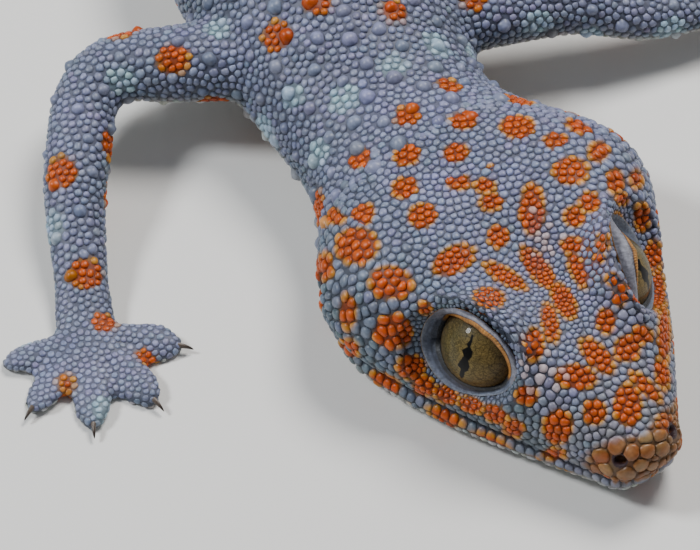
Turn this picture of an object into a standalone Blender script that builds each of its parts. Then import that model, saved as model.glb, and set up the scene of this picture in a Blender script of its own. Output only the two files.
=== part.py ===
"""Tokay gecko, life size, at rest on the ground with its head turned a little across its body.

One line runs from the snout tip to the tail tip. Every length of the body is a loft along that line,
and the lengths stand 0.3 mm apart. Sizes are in millimetres and turned into metres as meshes are made.
"""

import math

import bmesh
import bpy
import numpy as np
from mathutils import Matrix, Vector

MM = 0.001
GAP = 0.3

# Where each length of the body ends, in mm back from the snout tip
MOUTH_CORNER = 31.0
MOUTH_CORNER_HEIGHT = 4.2
HEAD_END = 44.0
NECK_END = 56.0
CHEST_END = 108.0
VENT = 163.0
TAIL_ENDS = (200.0, 243.0, 283.0, 315.0)

# The way the snout points, in degrees from +X, and the turn of the body line in degrees a millimetre
HEAD_HEADING = -58.0
HEAD_ROLL = 4.5  # degrees, with its left side up
HEAD_LIFT = 0.9
LEVEL_FROM = 62.0  # the head's roll and lift die out between its end and here
TURNS = (
    (0.0, 0.0),
    (44.0, 0.0),
    (56.0, 0.72),
    (150.0, 0.62),
    (178.0, 0.1),
    (215.0, -1.15),
    (262.0, -1.15),
    (290.0, 0.4),
    (315.0, 1.2),
)

# Half outline of the head at stations back from the snout tip, as (sideways, up) in mm: crown, crown side,
# brow, side, upper lip, mouth line, lower lip, belly edge, underside. The snout rounds off ahead of these.
SNOUT_ROUND = 3.0
SNOUT_TIP_HEIGHT = 4.5
MOUTH_TIP_HEIGHT = 3.9  # the mouth line's, 4 mm ahead of the tip
CHIN_RECEDES = 0.42  # mm back for each mm below the snout's tip
CHIN_STRAIGHT = 12.0
HEAD_OUTLINES = {
    3.0: (
        (0, 9.0), (1.8, 8.9), (3.4, 8.2), (4.4, 6.9), (5.0, 5.2),
        (4.9, 3.4), (4.8, 2.0), (3.4, 0), (0, 0),
    ),
    7.0: (
        (0, 10.6), (2.4, 10.5), (4.5, 9.8), (6.5, 8.2), (7.4, 5.6),
        (7.1, 3.3), (7.1, 1.8), (5.4, 0), (0, 0),
    ),
    11.7: (
        (0, 12.1), (2.9, 12.1), (5.7, 11.7), (8.6, 9.6), (10.2, 6.2),
        (9.6, 3.4), (9.8, 1.8), (7.8, 0), (0, 0),
    ),
    16.0: (
        (0, 13.3), (3.3, 13.6), (7.4, 14.3), (10.8, 10.9), (12.5, 6.6),
        (12.0, 3.5), (12.4, 1.8), (10.2, 0), (0, 0),
    ),
    21.0: (
        (0, 14.2), (3.8, 14.8), (9.3, 16.1), (13.3, 11.6), (15.2, 7.1),
        (14.5, 3.7), (15.0, 1.8), (12.6, 0), (0, 0),
    ),
    25.6: (
        (0, 15.2), (4.4, 15.7), (10.7, 16.0), (15.4, 12.2), (17.5, 7.7),
        (16.6, 3.9), (16.9, 1.9), (14.2, 0), (0, 0),
    ),
    31.5: (
        (0, 16.6), (5.4, 16.9), (11.8, 16.5), (17.6, 13.0), (19.8, 8.4),
        (18.6, 4.2), (18.5, 2.1), (15.4, 0), (0, 0),
    ),
    38.0: (
        (0, 17.2), (5.4, 17.2), (11.8, 16.2), (17.0, 12.6), (19.2, 8.6),
        (18.0, 4.6), (17.2, 2.3), (13.6, 0), (0, 0),
    ),
    44.0: (
        (0, 17.0), (4.8, 16.8), (9.8, 15.2), (13.8, 11.8), (15.2, 8.0),
        (14.2, 4.8), (13.2, 2.2), (10, 0), (0, 0),
    ),
}

# Half width and height of the neck, trunk and tail at stations back from the snout tip
BODY_SIZES = (
    (51.0, 12.3, 16.8),
    (58.0, 12.8, 17.8),
    (68.0, 15.0, 20.0),
    (86.0, 18.4, 22.4),
    (106.0, 20.6, 23.0),
    (126.0, 19.6, 22.2),
    (144.0, 15.8, 19.6),
    (156.0, 12.2, 17.2),
    (164.0, 9.6, 14.8),
    (172.0, 8.6, 13.6),
    (184.0, 8.5, 13.0),
    (206.0, 7.0, 11.0),
    (236.0, 5.3, 8.6),
    (266.0, 3.7, 6.2),
    (292.0, 2.3, 4.0),
    (308.0, 1.3, 2.3),
    (315.0, 0.7, 1.3),
)
WIDEST_AT = 0.42  # share of the height
BELLY_SINK = 0.6  # the round underside passes the floor by this much and is laid flat on it

# Spans between the nine outline points, and how many steps each takes
HEAD_STEPS = (2, 3, 5, 3, 3, 2, 1, 2)
TRUNK_STEPS = (2, 2, 2, 3, 2, 1, 1, 1)
TAIL_STEPS = (1, 1, 1, 1, 1, 1, 1, 1)

# Eyes: centre in (back, sideways, up), the way they look in (forward, sideways, up), and sizes
EYE_CENTRE = (21.3, 7.6, 9.6)
EYE_LOOKS = (0.37, 0.77, 0.52)
EYE_RADIUS = 5.0
ORBIT_RADII = (5.8, 5.1, 2.8)
ORBIT_OUT = 4.6
LID_RADIUS = 4.3
LID_THICKNESS = 0.5

NOSTRIL_AT = (2.3, 3.3, 7.6)
NOSTRIL_RADII = (0.75, 1.2, 0.6)
EAR_AT = (38.8, 18.7, 8.8)
EAR_RADII = (1.1, 2.6, 2.5)
EAR_TILT = 18.0

# Raised tubercles: rows of faces on the back, and on each whorl of the tail
SEED = 11
TUBERCLES = {  # (border round the plate, height of its edge, height of its point above that) in mm
    "small": (0.85, 0.22, 0.35),
    "middling": (0.68, 0.3, 0.5),
    "large": (0.52, 0.38, 0.6),
}
TAIL_TUBERCLE_POINT = 0.42
BACK_ROW = 3.3
WHORL = 5.5
WHORL_STEP = 0.32

# Limbs: stations as (back along the body, sideways from its middle, up), root to palm end
LIMBS = {
    "right_arm": {
        "points": (
            (66, 7, 9.0), (68.5, 18, 9.4), (70, 27, 8.4),
            (63, 33.5, 5.6), (54.5, 38.5, 2.9), (48.5, 42, 1.9),
        ),
        "radii": (5.0, 4.8, 4.1, 3.9, 3.1, 3.6),
        "names": ("right_upper_arm", "right_forearm", "right_hand"),
        "toes": ((-72, 8.2), (-36, 10.2), (-2, 11.0), (33, 10.4), (74, 8.8)),
        "side": -1,
    },
    "left_arm": {
        "points": (
            (66, 7, 9.0), (64, 17, 9.4), (61.5, 26, 8.4),
            (56.8, 34, 5.4), (54, 42, 2.9), (52, 48.5, 1.9),
        ),
        "radii": (5.0, 4.8, 4.1, 3.9, 3.1, 3.6),
        "names": ("left_upper_arm", "left_forearm", "left_hand"),
        "toes": ((-74, 8.8), (-37, 10.4), (0, 11.0), (35, 10.2), (72, 8.2)),
        "side": 1,
    },
    "right_leg": {
        "points": (
            (152, 5, 8.4), (147, 17, 9.6), (141, 28.5, 9.0),
            (149, 37, 5.6), (158, 44, 3.2), (163, 50.5, 2.0),
        ),
        "radii": (6.4, 6.2, 4.7, 4.6, 3.4, 4.1),
        "names": ("right_thigh", "right_shin", "right_foot"),
        "toes": ((-78, 8.6), (-42, 11.2), (-8, 12.4), (26, 12.6), (68, 11.4)),
        "side": -1,
    },
    "left_leg": {
        "points": (
            (152, 5, 8.4), (144, 16.5, 9.6), (134, 26.5, 9.0),
            (138, 37.5, 5.8), (146, 46, 3.2), (151, 53, 2.0),
        ),
        "radii": (6.4, 6.2, 4.7, 4.6, 3.4, 4.1),
        "names": ("left_thigh", "left_shin", "left_foot"),
        "toes": ((-72, 11.2), (-30, 12.6), (4, 12.4), (38, 11.0), (76, 8.6)),
        "side": 1,
    },
}
LIMB_STEP = 2.2
LIMB_SIDES = 12
BEND_SMOOTHING = 4  # times that the way a limb runs is averaged with its neighbours, so sections don't cross
LIMB_SPLITS = (0.44, 0.84)  # shares of the limb's length where its middle joint and its wrist or ankle are
WRIST_FLATNESS = 0.72
PALM_HALF_HEIGHT = 1.9
TUBERCLE_CLEAR_OF_LIMB = 3.0
LIMB_ROOT_GAP = 0.45

# A toe as shares of its length, half width and height in mm: slender root, broad pad, narrow tip
TOE_OUTLINE = (
    (0.0, 1.25, 2.6),
    (0.34, 1.15, 2.4),
    (0.48, 1.7, 2.1),
    (0.64, 2.2, 1.9),
    (0.82, 2.15, 1.7),
    (0.93, 1.4, 1.6),
    (1.0, 0.6, 1.3),
)
TOE_SIDES = 8
TOE_ROOT_SINK = 2.4
CLAW_LENGTH = 1.7
CLAW_RADIUS = 0.42
CLAW_SIDES = 6

SKIN = (0.36, 0.42, 0.47, 1.0)
BELLY = (0.55, 0.56, 0.54, 1.0)
EYE = (0.33, 0.26, 0.08, 1.0)


def spline(at, stations, values):
    """Values of a smooth curve that passes through every (station, value)."""
    at = np.clip(at, stations[0], stations[-1])
    slopes = np.gradient(values, stations)
    i = np.clip(np.searchsorted(stations, at, side="right") - 1, 0, len(stations) - 2)
    width = stations[i + 1] - stations[i]
    t = (at - stations[i]) / width
    return (
        (1 + 2 * t) * (1 - t) ** 2 * values[i]
        + t * (1 - t) ** 2 * width * slopes[i]
        + t * t * (3 - 2 * t) * values[i + 1]
        + t * t * (t - 1) * width * slopes[i + 1]
    )


def body_line():
    """The line's stations, points in plan and its heading towards the tail, a step of 0.25 mm at a time."""
    stations = np.arange(0.0, TAIL_ENDS[-1] + 1.0, 0.25)
    turn = np.interp(stations, *np.array(TURNS).T)
    heading = np.radians(HEAD_HEADING + 180.0 - np.concatenate([[0], np.cumsum(turn[:-1] * 0.25)]))
    steps = 0.25 * np.stack([np.cos(heading), np.sin(heading)], 1)
    points = np.concatenate([[[0.0, 0.0]], np.cumsum(steps[:-1], axis=0)])
    return stations, points, heading


STATIONS, LINE, HEADING = body_line()


def place(back, side, up):
    """Points for places along the body line, sideways to the animal's left, and up."""
    back, side, up = (np.asarray(v, float) for v in np.broadcast_arrays(back, side, up))
    share = np.clip((LEVEL_FROM - back) / (LEVEL_FROM - HEAD_END), 0, 1)
    share = share * share * (3 - 2 * share)
    roll = math.radians(HEAD_ROLL) * share
    out = side * np.cos(roll) - up * np.sin(roll)
    height = HEAD_LIFT * share + up * np.cos(roll) + side * np.sin(roll)
    heading = np.interp(back, STATIONS, HEADING)
    # A place ahead of the snout tip continues the line
    ahead = np.minimum(back, 0.0)
    x = np.interp(back, STATIONS, LINE[:, 0]) + np.sin(heading) * out + ahead * np.cos(heading)
    y = np.interp(back, STATIONS, LINE[:, 1]) - np.cos(heading) * out + ahead * np.sin(heading)
    return np.stack([x, y, height], -1)


def trunk_outline(half_width, height):
    """The nine outline points of a round-backed section that lies on its belly."""
    middle = WIDEST_AT * height
    angles = np.radians([90, 66, 42, 20, 0, -24, -48, -70, -90])
    up = np.where(angles > 0, (height - middle) * np.sin(angles), (middle + BELLY_SINK) * np.sin(angles))
    return np.stack([half_width * np.cos(angles), middle + up], 1)


def outlines_along(stations):
    """The nine outline points at each station of the body."""
    known = {s: np.array(points, float) for s, points in HEAD_OUTLINES.items()}
    known.update({s: trunk_outline(w, h) for s, w, h in BODY_SIZES})
    keys = np.array(sorted(known))
    table = np.stack([known[s] for s in keys])
    found = np.empty((len(stations), 9, 2))
    for column in range(9):
        for axis in range(2):
            found[:, column, axis] = spline(stations, keys, table[:, column, axis])
    # The snout rounds off to its tip, which is just above the mouth line
    short = np.clip(1 - np.asarray(stations) / SNOUT_ROUND, 0, 1)
    share = (1 - short**2.3) ** (1 / 2.3)
    found[:, :, 0] *= share[:, None]
    found[:, :, 1] = SNOUT_TIP_HEIGHT + (found[:, :, 1] - SNOUT_TIP_HEIGHT) * share[:, None]
    return found


def around(outline, steps):
    """A closed section through a half outline and its mirror image, with the given steps in each span."""
    ring = np.concatenate([outline, outline[-2:0:-1] * (-1, 1)])
    count = len(ring)
    spans = list(steps) + list(steps)[::-1]
    points = []
    for i, n in enumerate(spans):
        before, a, b, after = (ring[(i + k) % count] for k in (-1, 0, 1, 2))
        for t in np.arange(n) / n:
            points.append(
                0.5
                * (
                    2 * a
                    + (b - before) * t
                    + (2 * before - 5 * a + 4 * b - after) * t * t
                    + (3 * a - before - 3 * b + after) * t**3
                )
            )
    return np.array(points)


def body_rows(stations, steps):
    """Rows of points of the body's surface, one closed section a station."""
    rows = []
    for s, outline in zip(stations, outlines_along(stations)):
        section = around(outline, steps)
        side, up = section[:, 0], section[:, 1]
        below = np.maximum(SNOUT_TIP_HEIGHT - up, 0)
        recede = CHIN_RECEDES * below * np.clip(1 - s / CHIN_STRAIGHT, 0, 1)
        rows.append(place(s + recede, side, up))
    rows = np.array(rows)
    rows[:, :, 2] = np.maximum(rows[:, :, 2], 0.0)
    return rows


def loft(rows):
    """A closed bmesh through rows of points, with flat ends, and its faces between rows as a grid."""
    bm = bmesh.new()
    verts = [[bm.verts.new(Vector(p) * MM) for p in row] for row in rows]
    grid = []
    for a, b in zip(verts, verts[1:]):
        n = len(a)
        grid.append([bm.faces.new((a[i], b[i], b[(i + 1) % n], a[(i + 1) % n])) for i in range(n)])
    bm.faces.new(verts[0])
    bm.faces.new(verts[-1][::-1])
    bmesh.ops.recalc_face_normals(bm, faces=bm.faces)
    return bm, grid


def finish(bm, name, collection, material=None):
    """A named object from a bmesh, smooth where it is round."""
    mesh = bpy.data.meshes.new(name)
    bm.to_mesh(mesh)
    bm.free()
    mesh.shade_smooth()
    mesh.set_sharp_from_angle(angle=math.radians(60))
    if material:
        mesh.materials.append(material)
    obj = bpy.data.objects.new(name, mesh)
    collection.objects.link(obj)
    return obj


def paint(name, colour, roughness):
    """A plain material of one colour."""
    material = bpy.data.materials.new(name)
    material.use_nodes = True
    shader = material.node_tree.nodes["Principled BSDF"]
    shader.inputs["Base Color"].default_value = colour
    shader.inputs["Roughness"].default_value = roughness
    shader.inputs["Metallic"].default_value = 0.0
    return material


def apply_boolean(obj, operation, pieces):
    """Joins or cuts obj by closed mesh pieces, one after another, and removes them."""
    for piece in pieces:
        modifier = obj.modifiers.new(operation.lower(), "BOOLEAN")
        modifier.operation = operation
        modifier.object = piece
        modifier.solver = "EXACT"
        graph = bpy.context.evaluated_depsgraph_get()
        mesh = bpy.data.meshes.new_from_object(obj.evaluated_get(graph))
        obj.modifiers.clear()
        obj.data = mesh
        bpy.data.objects.remove(piece)
    keep_largest(obj)


def keep_largest(obj):
    """Keeps only the largest closed surface of a mesh."""
    bm = bmesh.new()
    bm.from_mesh(obj.data)
    bmesh.ops.remove_doubles(bm, verts=bm.verts, dist=5e-7)
    left = set(bm.verts)
    groups = []
    while left:
        group, front = set(), [next(iter(left))]
        while front:
            v = front.pop()
            if v in group:
                continue
            group.add(v)
            front.extend(e.other_vert(v) for e in v.link_edges)
        groups.append(group)
        left -= group
    largest = max(groups, key=len)
    bmesh.ops.delete(bm, geom=[v for v in bm.verts if v not in largest], context="VERTS")
    bm.to_mesh(obj.data)
    bm.free()
    obj.data.shade_smooth()
    obj.data.set_sharp_from_angle(angle=math.radians(60))


def head_axes():
    """The head's back, left and up directions."""
    origin = place(0, 0, 0)
    return [Vector(place(*step) - origin) for step in ((1, 0, 0), (0, 1, 0), (0, 0, 1))]


def head_point(at, side):
    """A place on the head given as (back, sideways, up), on the left or the right side."""
    return Vector(place(at[0], at[1] * side, at[2])) * MM


def ellipsoid(name, centre, radii, axes, collection, segments=20, rings=12):
    """An ellipsoid with its own three axes."""
    bm = bmesh.new()
    bmesh.ops.create_uvsphere(bm, u_segments=segments, v_segments=rings, radius=1.0)
    turn = Matrix([a.normalized() for a in axes]).transposed().to_4x4()
    size = Matrix.Diagonal([r * MM for r in radii] + [1.0])
    bmesh.ops.transform(bm, matrix=Matrix.Translation(centre) @ turn @ size, verts=bm.verts)
    bmesh.ops.recalc_face_normals(bm, faces=bm.faces)
    return finish(bm, name, collection)


def eye_axes(side):
    """The way an eye looks, with the two directions across its opening: along the head, and up it."""
    back, left, up = head_axes()
    looks = (-back * EYE_LOOKS[0] + left * (EYE_LOOKS[1] * side) + up * EYE_LOOKS[2]).normalized()
    along = (-back - looks * looks.dot(-back)).normalized()
    return along, looks.cross(along).normalized(), looks


def lid_rim(side, collection):
    """The ring of both eyelids, which lies on the eyeball round its opening."""
    along, across, looks = eye_axes(side)
    centre = head_point(EYE_CENTRE, side) + looks * (math.sqrt(EYE_RADIUS**2 - LID_RADIUS**2) + 0.35) * MM
    bm = bmesh.new()
    rings, sides = 22, 6
    rows = []
    for turn in np.arange(rings) * 2 * math.pi / rings:
        out = along * math.cos(turn) + across * math.sin(turn)
        thick = LID_THICKNESS * (1.3 + 0.5 * out.z)
        middle = centre + out * (LID_RADIUS + 0.75) * MM
        rows.append(
            [
                bm.verts.new(middle + (out * (1.6 * math.cos(a)) + looks * math.sin(a)) * thick * MM)
                for a in np.arange(sides) * 2 * math.pi / sides
            ]
        )
    for a, b in zip(rows, rows[1:] + rows[:1]):
        for i in range(sides):
            bm.faces.new((a[i], b[i], b[(i + 1) % sides], a[(i + 1) % sides]))
    bmesh.ops.recalc_face_normals(bm, faces=bm.faces)
    return finish(bm, "lid_rim", collection)


def jaw_region(name, grow, collection):
    """The space under the mouth line and ahead of the mouth's corner, as a flat outline made thick."""
    back, left, up = head_axes()
    origin = Vector(place(0, 0, 0))
    outline = [(-4.0, MOUTH_TIP_HEIGHT)]
    for s in (3.0, 7.0, 11.7, 16.0, 21.0, 25.6):
        outline.append((s, HEAD_OUTLINES[s][5][1]))
    outline += [(MOUTH_CORNER, MOUTH_CORNER_HEIGHT), (MOUTH_CORNER + 2.0, -4.0), (-4.0, -4.0)]
    bm = bmesh.new()
    corners = []
    for s, height in outline:
        # Growing raises the top and moves the rear back
        raised = height + grow if height > 0 else height
        further = s + grow if s >= MOUTH_CORNER else s
        corners.append(bm.verts.new((origin + back * further + left * -24 + up * raised) * MM))
    face = bm.faces.new(corners)
    extruded = bmesh.ops.extrude_face_region(bm, geom=[face])["geom"]
    far = [g for g in extruded if isinstance(g, bmesh.types.BMVert)]
    bmesh.ops.translate(bm, vec=left * 48 * MM, verts=far)
    bmesh.ops.recalc_face_normals(bm, faces=bm.faces)
    return finish(bm, name, collection)


def copied(obj, name, collection):
    """A copy of an object with its own mesh."""
    twin = bpy.data.objects.new(name, obj.data.copy())
    collection.objects.link(twin)
    return twin


def build_head(collection, skin):
    """The head with its lids, orbits, ears and nostrils, and the lower jaw parted from it."""
    tip = SNOUT_ROUND * (1 - np.cos(np.linspace(0.16, 0.5 * math.pi, 7)))
    stations = np.concatenate([tip, np.arange(4.6, HEAD_END - 0.8, 1.64), [HEAD_END]])
    bm, _ = loft(body_rows(stations, HEAD_STEPS))
    head = finish(bm, "head", collection, skin)
    back, left, up = head_axes()
    rims, cutters = [], []
    for side in (-1, 1):
        along, across, looks = eye_axes(side)
        eye = head_point(EYE_CENTRE, side)
        orbit = eye + looks * ORBIT_OUT * MM
        cutters.append(ellipsoid("orbit", orbit, ORBIT_RADII, (along, across, looks), collection))
        rims.append(lid_rim(side, collection))
        out = left * side
        nostril_out = (out * 0.8 + up * 0.35 - back * 0.5).normalized()
        nostril_axes = (back.cross(nostril_out).cross(nostril_out), nostril_out, back.cross(nostril_out))
        cutters.append(
            ellipsoid("nostril", head_point(NOSTRIL_AT, side), NOSTRIL_RADII, nostril_axes, collection, 10, 8)
        )
        tilt = Matrix.Rotation(math.radians(EAR_TILT * side), 3, left)
        ear_axes = (tilt @ back, left, tilt @ up)
        cutters.append(ellipsoid("ear", head_point(EAR_AT, side), EAR_RADII, ear_axes, collection, 14, 10))
    apply_boolean(head, "DIFFERENCE", cutters)
    apply_boolean(head, "UNION", rims)
    sockets = [
        ellipsoid("socket", head_point(EYE_CENTRE, side), [EYE_RADIUS + GAP] * 3, eye_axes(side), collection)
        for side in (-1, 1)
    ]
    apply_boolean(head, "DIFFERENCE", sockets)
    jaw = copied(head, "lower_jaw", collection)
    apply_boolean(jaw, "INTERSECT", [jaw_region("jaw_inside", 0.0, collection)])
    apply_boolean(head, "DIFFERENCE", [jaw_region("jaw_outside", GAP, collection)])


def build_eyes(collection, material):
    """Both eyeballs, sunk in their sockets."""
    for side, name in ((-1, "right_eye"), (1, "left_eye")):
        centre = head_point(EYE_CENTRE, side)
        eye = ellipsoid(name, centre, [EYE_RADIUS] * 3, eye_axes(side), collection, 20, 12)
        eye.data.materials.append(material)


def raise_tubercles(bm, faces):
    """Raises a small pointed plate in each of the faces, in one of the named sizes by chance."""
    chance = np.random.default_rng(SEED)
    picks = chance.integers(0, len(TUBERCLES), len(faces))
    for number, (border, edge, point) in enumerate(TUBERCLES.values()):
        group = [face for face, pick in zip(faces, picks) if pick == number]
        bmesh.ops.inset_individual(bm, faces=group, thickness=border * MM, depth=edge * MM)
        bmesh.ops.poke(bm, faces=group, offset=point * MM)


def near_limb(face):
    """Whether a face of the trunk is close to where a limb leaves it."""
    at = np.array(face.calc_center_median()) / MM
    for limb in LIMBS.values():
        _, points, radii = limb_curve(limb)
        if (np.linalg.norm(points - at, axis=1) - radii).min() < TUBERCLE_CLEAR_OF_LIMB:
            return True
    return False


def build_trunk(name, start, end, collection, skin):
    """A length of the trunk, with its rows of tubercles."""
    count = round((end - start) / BACK_ROW)
    stations = np.linspace(start, end, count + 1)
    bm, grid = loft(body_rows(stations, TRUNK_STEPS))
    columns = len(grid[0])
    back_columns = sum(TRUNK_STEPS[:4])
    chosen = []
    for r, row in enumerate(grid[1:-1], start=1):
        for c, face in enumerate(row):
            from_top = min(c, columns - 1 - c)
            if from_top < back_columns and (r + c) % 2 == 0 and not near_limb(face):
                chosen.append(face)
    raise_tubercles(bm, chosen)
    finish(bm, name, collection, skin)


def build_neck(collection, skin):
    """The neck, between the head and the chest."""
    stations = np.linspace(HEAD_END + GAP, NECK_END, 5)
    bm, _ = loft(body_rows(stations, TRUNK_STEPS))
    finish(bm, "neck", collection, skin)


def build_tail(collection, skin):
    """The tail in four lengths, each a run of whorls with a ring of tubercles on its upper half."""
    starts = (VENT,) + TAIL_ENDS[:-1]
    for name, start, end in zip(("tail_base", "tail_middle", "tail_rear", "tail_tip"), starts, TAIL_ENDS):
        first = start + GAP
        whorls = max(2, round((end - first) / WHORL))
        edges = np.linspace(first, end, whorls + 1)
        length = edges[1] - edges[0]
        stations, swell = [], []
        for s in edges[:-1]:
            stations += [s, s + 0.82 * length]
            swell += [0.0, 1.0]
        stations.append(edges[-1])
        swell.append(0.0)
        stations = np.array(stations)
        rows = body_rows(stations, TAIL_STEPS)
        middle = rows.mean(axis=1, keepdims=True)
        size = np.interp(stations, [s for s, _, _ in BODY_SIZES], [w for _, w, _ in BODY_SIZES])
        grown = 1 + np.array(swell) * WHORL_STEP / np.maximum(size, 2.2)
        rows = middle + (rows - middle) * grown[:, None, None]
        rows[:, :, 2] = np.maximum(rows[:, :, 2], 0.0)
        bm, grid = loft(rows)
        columns = len(grid[0])
        if name != "tail_tip":
            chosen = [row[c] for row in grid[::2] for c in (0, 2, 3, columns - 1, columns - 3, columns - 4)]
            bmesh.ops.poke(bm, faces=chosen, offset=TAIL_TUBERCLE_POINT * MM)
        finish(bm, name, collection, skin)


def limb_curve(limb):
    """Evenly spaced points down the middle of a limb, with the radius at each."""
    controls = np.array([place(b, s * limb["side"], up) for b, s, up in limb["points"]])
    lengths = np.concatenate([[0], np.cumsum(np.linalg.norm(np.diff(controls, axis=0), axis=1))])
    count = round(lengths[-1] / LIMB_STEP)
    at = np.linspace(0, lengths[-1], count + 1)
    points = np.stack([spline(at, lengths, controls[:, k]) for k in range(3)], 1)
    return at / lengths[-1], points, spline(at, lengths, np.array(limb["radii"], float))


def limb_row(point, direction, radius, flatness, floor):
    """One section of a limb, laid flat where it meets the floor level."""
    direction = direction / np.linalg.norm(direction)
    side = np.cross(direction, (0, 0, 1))
    side /= np.linalg.norm(side)
    up = np.cross(side, direction)
    angles = np.arange(LIMB_SIDES) * 2 * math.pi / LIMB_SIDES
    ring = point + radius * (np.outer(np.cos(angles), side) + flatness * np.outer(np.sin(angles), up))
    ring[:, 2] = np.maximum(ring[:, 2], floor)
    return ring


def limb_rows(limb, start, end, shift=0.0, floor=0.0):
    """Rows of a limb between two shares of its length, the first moved on by shift mm."""
    at, points, radii = limb_curve(limb)
    inner = at[(at > start + 0.03) & (at < end - 0.02)]
    wanted = np.concatenate([[start], inner, [end]])
    directions = np.gradient(points, at, axis=0)
    for _ in range(BEND_SMOOTHING):
        directions[1:-1] = (directions[:-2] + directions[1:-1] + directions[2:]) / 3
    rows = []
    for t in wanted:
        point, direction = (
            np.array([np.interp(t, at, v[:, k]) for k in range(3)]) for v in (points, directions)
        )
        if t == start:
            point = point + shift * direction / np.linalg.norm(direction)
        flatness = np.interp(t, (LIMB_SPLITS[0], LIMB_SPLITS[1]), (0.92, WRIST_FLATNESS))
        flatness = np.interp(t, (LIMB_SPLITS[1], 1.0), (flatness, PALM_HALF_HEIGHT / radii[-1]))
        rows.append(limb_row(point, direction, float(np.interp(t, at, radii)), flatness, floor))
    return rows


def build_toe(root, heading, length, stout, clawed, collection):
    """A toe that lies on the floor, with its pad, and the claw at its tip."""
    along = np.array((math.cos(heading), math.sin(heading), 0.0))
    side = np.array((-along[1], along[0], 0.0))
    angles = np.arange(TOE_SIDES) * 2 * math.pi / TOE_SIDES
    rows = []
    for share, half_width, height in TOE_OUTLINE:
        middle = root + along * (share * (length + TOE_ROOT_SINK) - TOE_ROOT_SINK)
        section = middle + half_width * stout * np.outer(np.cos(angles), side)
        # The round section passes the floor, and is cut flat with the palm's
        section[:, 2] = height * stout * (0.375 + 0.625 * np.sin(angles + math.pi / TOE_SIDES))
        rows.append(section)
    bm, _ = loft(rows)
    pieces = [finish(bm, "toe", collection)]
    if clawed:
        bm = bmesh.new()
        bmesh.ops.create_cone(
            bm,
            cap_ends=True,
            segments=CLAW_SIDES,
            radius1=CLAW_RADIUS * MM,
            radius2=0.1 * MM,
            depth=CLAW_LENGTH * MM,
        )
        down = Vector(along) - Vector((0, 0, 0.32))
        turn = Vector((0, 0, 1)).rotation_difference(down).to_matrix().to_4x4()
        tip = root + along * (length + 0.25 * CLAW_LENGTH)
        at = Vector((tip[0], tip[1], 0.85)) * MM
        bmesh.ops.transform(bm, matrix=Matrix.Translation(at) @ turn, verts=bm.verts)
        pieces.append(finish(bm, "claw", collection))
    return pieces


def build_limb(limb, collection, skin):
    """A limb in three lengths: upper, lower, and the hand or foot with its toes."""
    _, points, _ = limb_curve(limb)
    joint, wrist = LIMB_SPLITS
    upper, lower, foot = limb["names"]
    bm, _ = loft(limb_rows(limb, 0.0, joint))
    upper_piece = finish(bm, upper, collection, skin)
    apply_boolean(upper_piece, "DIFFERENCE", [body_cutter(limb, collection)])
    bm, _ = loft(limb_rows(limb, joint, wrist, GAP))
    finish(bm, lower, collection, skin)
    bm, _ = loft(limb_rows(limb, wrist, 1.0, GAP, floor=-5.0))
    palm = finish(bm, foot, collection, skin)
    end = points[-1]
    reach = points[-1] - points[-3]
    heading = math.atan2(reach[1], reach[0])
    inner_first = limb["toes"] if limb["side"] < 0 else limb["toes"][::-1]
    short = min(length for _, length in limb["toes"])
    toes = []
    for index, (angle, length) in enumerate(inner_first):
        turn = math.radians(angle)
        root = np.array((end[0], end[1], 0.0)) - 2.6 * np.array((math.cos(heading), math.sin(heading), 0.0))
        root += 1.8 * np.array((math.cos(heading + turn), math.sin(heading + turn), 0.0))
        stout = 0.94 + 0.04 * index
        toes += build_toe(root, heading + turn, length, stout, length > short, collection)
    apply_boolean(palm, "UNION", toes)
    lay_on_floor(palm)


def lay_on_floor(obj):
    """Cuts away what is under the floor and closes the flat that this leaves."""
    bm = bmesh.new()
    bm.from_mesh(obj.data)
    everything = list(bm.verts) + list(bm.edges) + list(bm.faces)
    bmesh.ops.bisect_plane(
        bm, geom=everything, dist=1e-7, plane_co=(0, 0, 0), plane_no=(0, 0, 1), clear_inner=True
    )
    rim = [e for e in bm.edges if e.is_boundary]
    bmesh.ops.triangle_fill(bm, edges=rim, use_beauty=True, use_dissolve=False)
    bmesh.ops.recalc_face_normals(bm, faces=bm.faces)
    bm.to_mesh(obj.data)
    bm.free()
    keep_largest(obj)


def body_cutter(limb, collection):
    """The trunk near a limb's root, grown by the gap that the limb keeps to it."""
    middle = limb["points"][1][0]
    bm, _ = loft(body_rows(np.arange(middle - 23.1, middle + 23.2, BACK_ROW), TRUNK_STEPS))
    bm.normal_update()
    for v in bm.verts:
        v.co += v.normal * LIMB_ROOT_GAP * MM
    return finish(bm, "cutter", collection)


def main():
    for obj in list(bpy.data.objects):
        bpy.data.objects.remove(obj)
    gecko = bpy.data.collections.new("tokay_gecko")
    bpy.context.scene.collection.children.link(gecko)
    skin = paint("skin", SKIN, 0.55)
    pale = paint("pale_skin", BELLY, 0.6)
    build_head(gecko, skin)
    build_eyes(gecko, paint("eye", EYE, 0.08))
    build_neck(gecko, skin)
    build_trunk("torso_front", NECK_END + GAP, CHEST_END, gecko, skin)
    build_trunk("torso_rear", CHEST_END + GAP, VENT, gecko, skin)
    build_tail(gecko, skin)
    for limb in LIMBS.values():
        build_limb(limb, gecko, pale)
    # The frame's origin is on the floor under the middle of the whole animal
    corners = np.array([v.co for obj in gecko.objects for v in obj.data.vertices])
    middle = (corners.min(axis=0) + corners.max(axis=0)) / 2
    root = bpy.data.objects.new("tokay_gecko", None)
    gecko.objects.link(root)
    root.location = (-middle[0], -middle[1], 0.0)
    for obj in gecko.objects:
        if obj is not root:
            obj.parent = root


main()
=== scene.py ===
"""Looks of the tokay gecko: one smooth skin, its packed scales, and the eyes, lids, nostrils and claws."""

import math

import bmesh
import bpy
import numpy as np
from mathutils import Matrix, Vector
from mathutils.bvhtree import BVHTree
from mathutils.kdtree import KDTree


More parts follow.
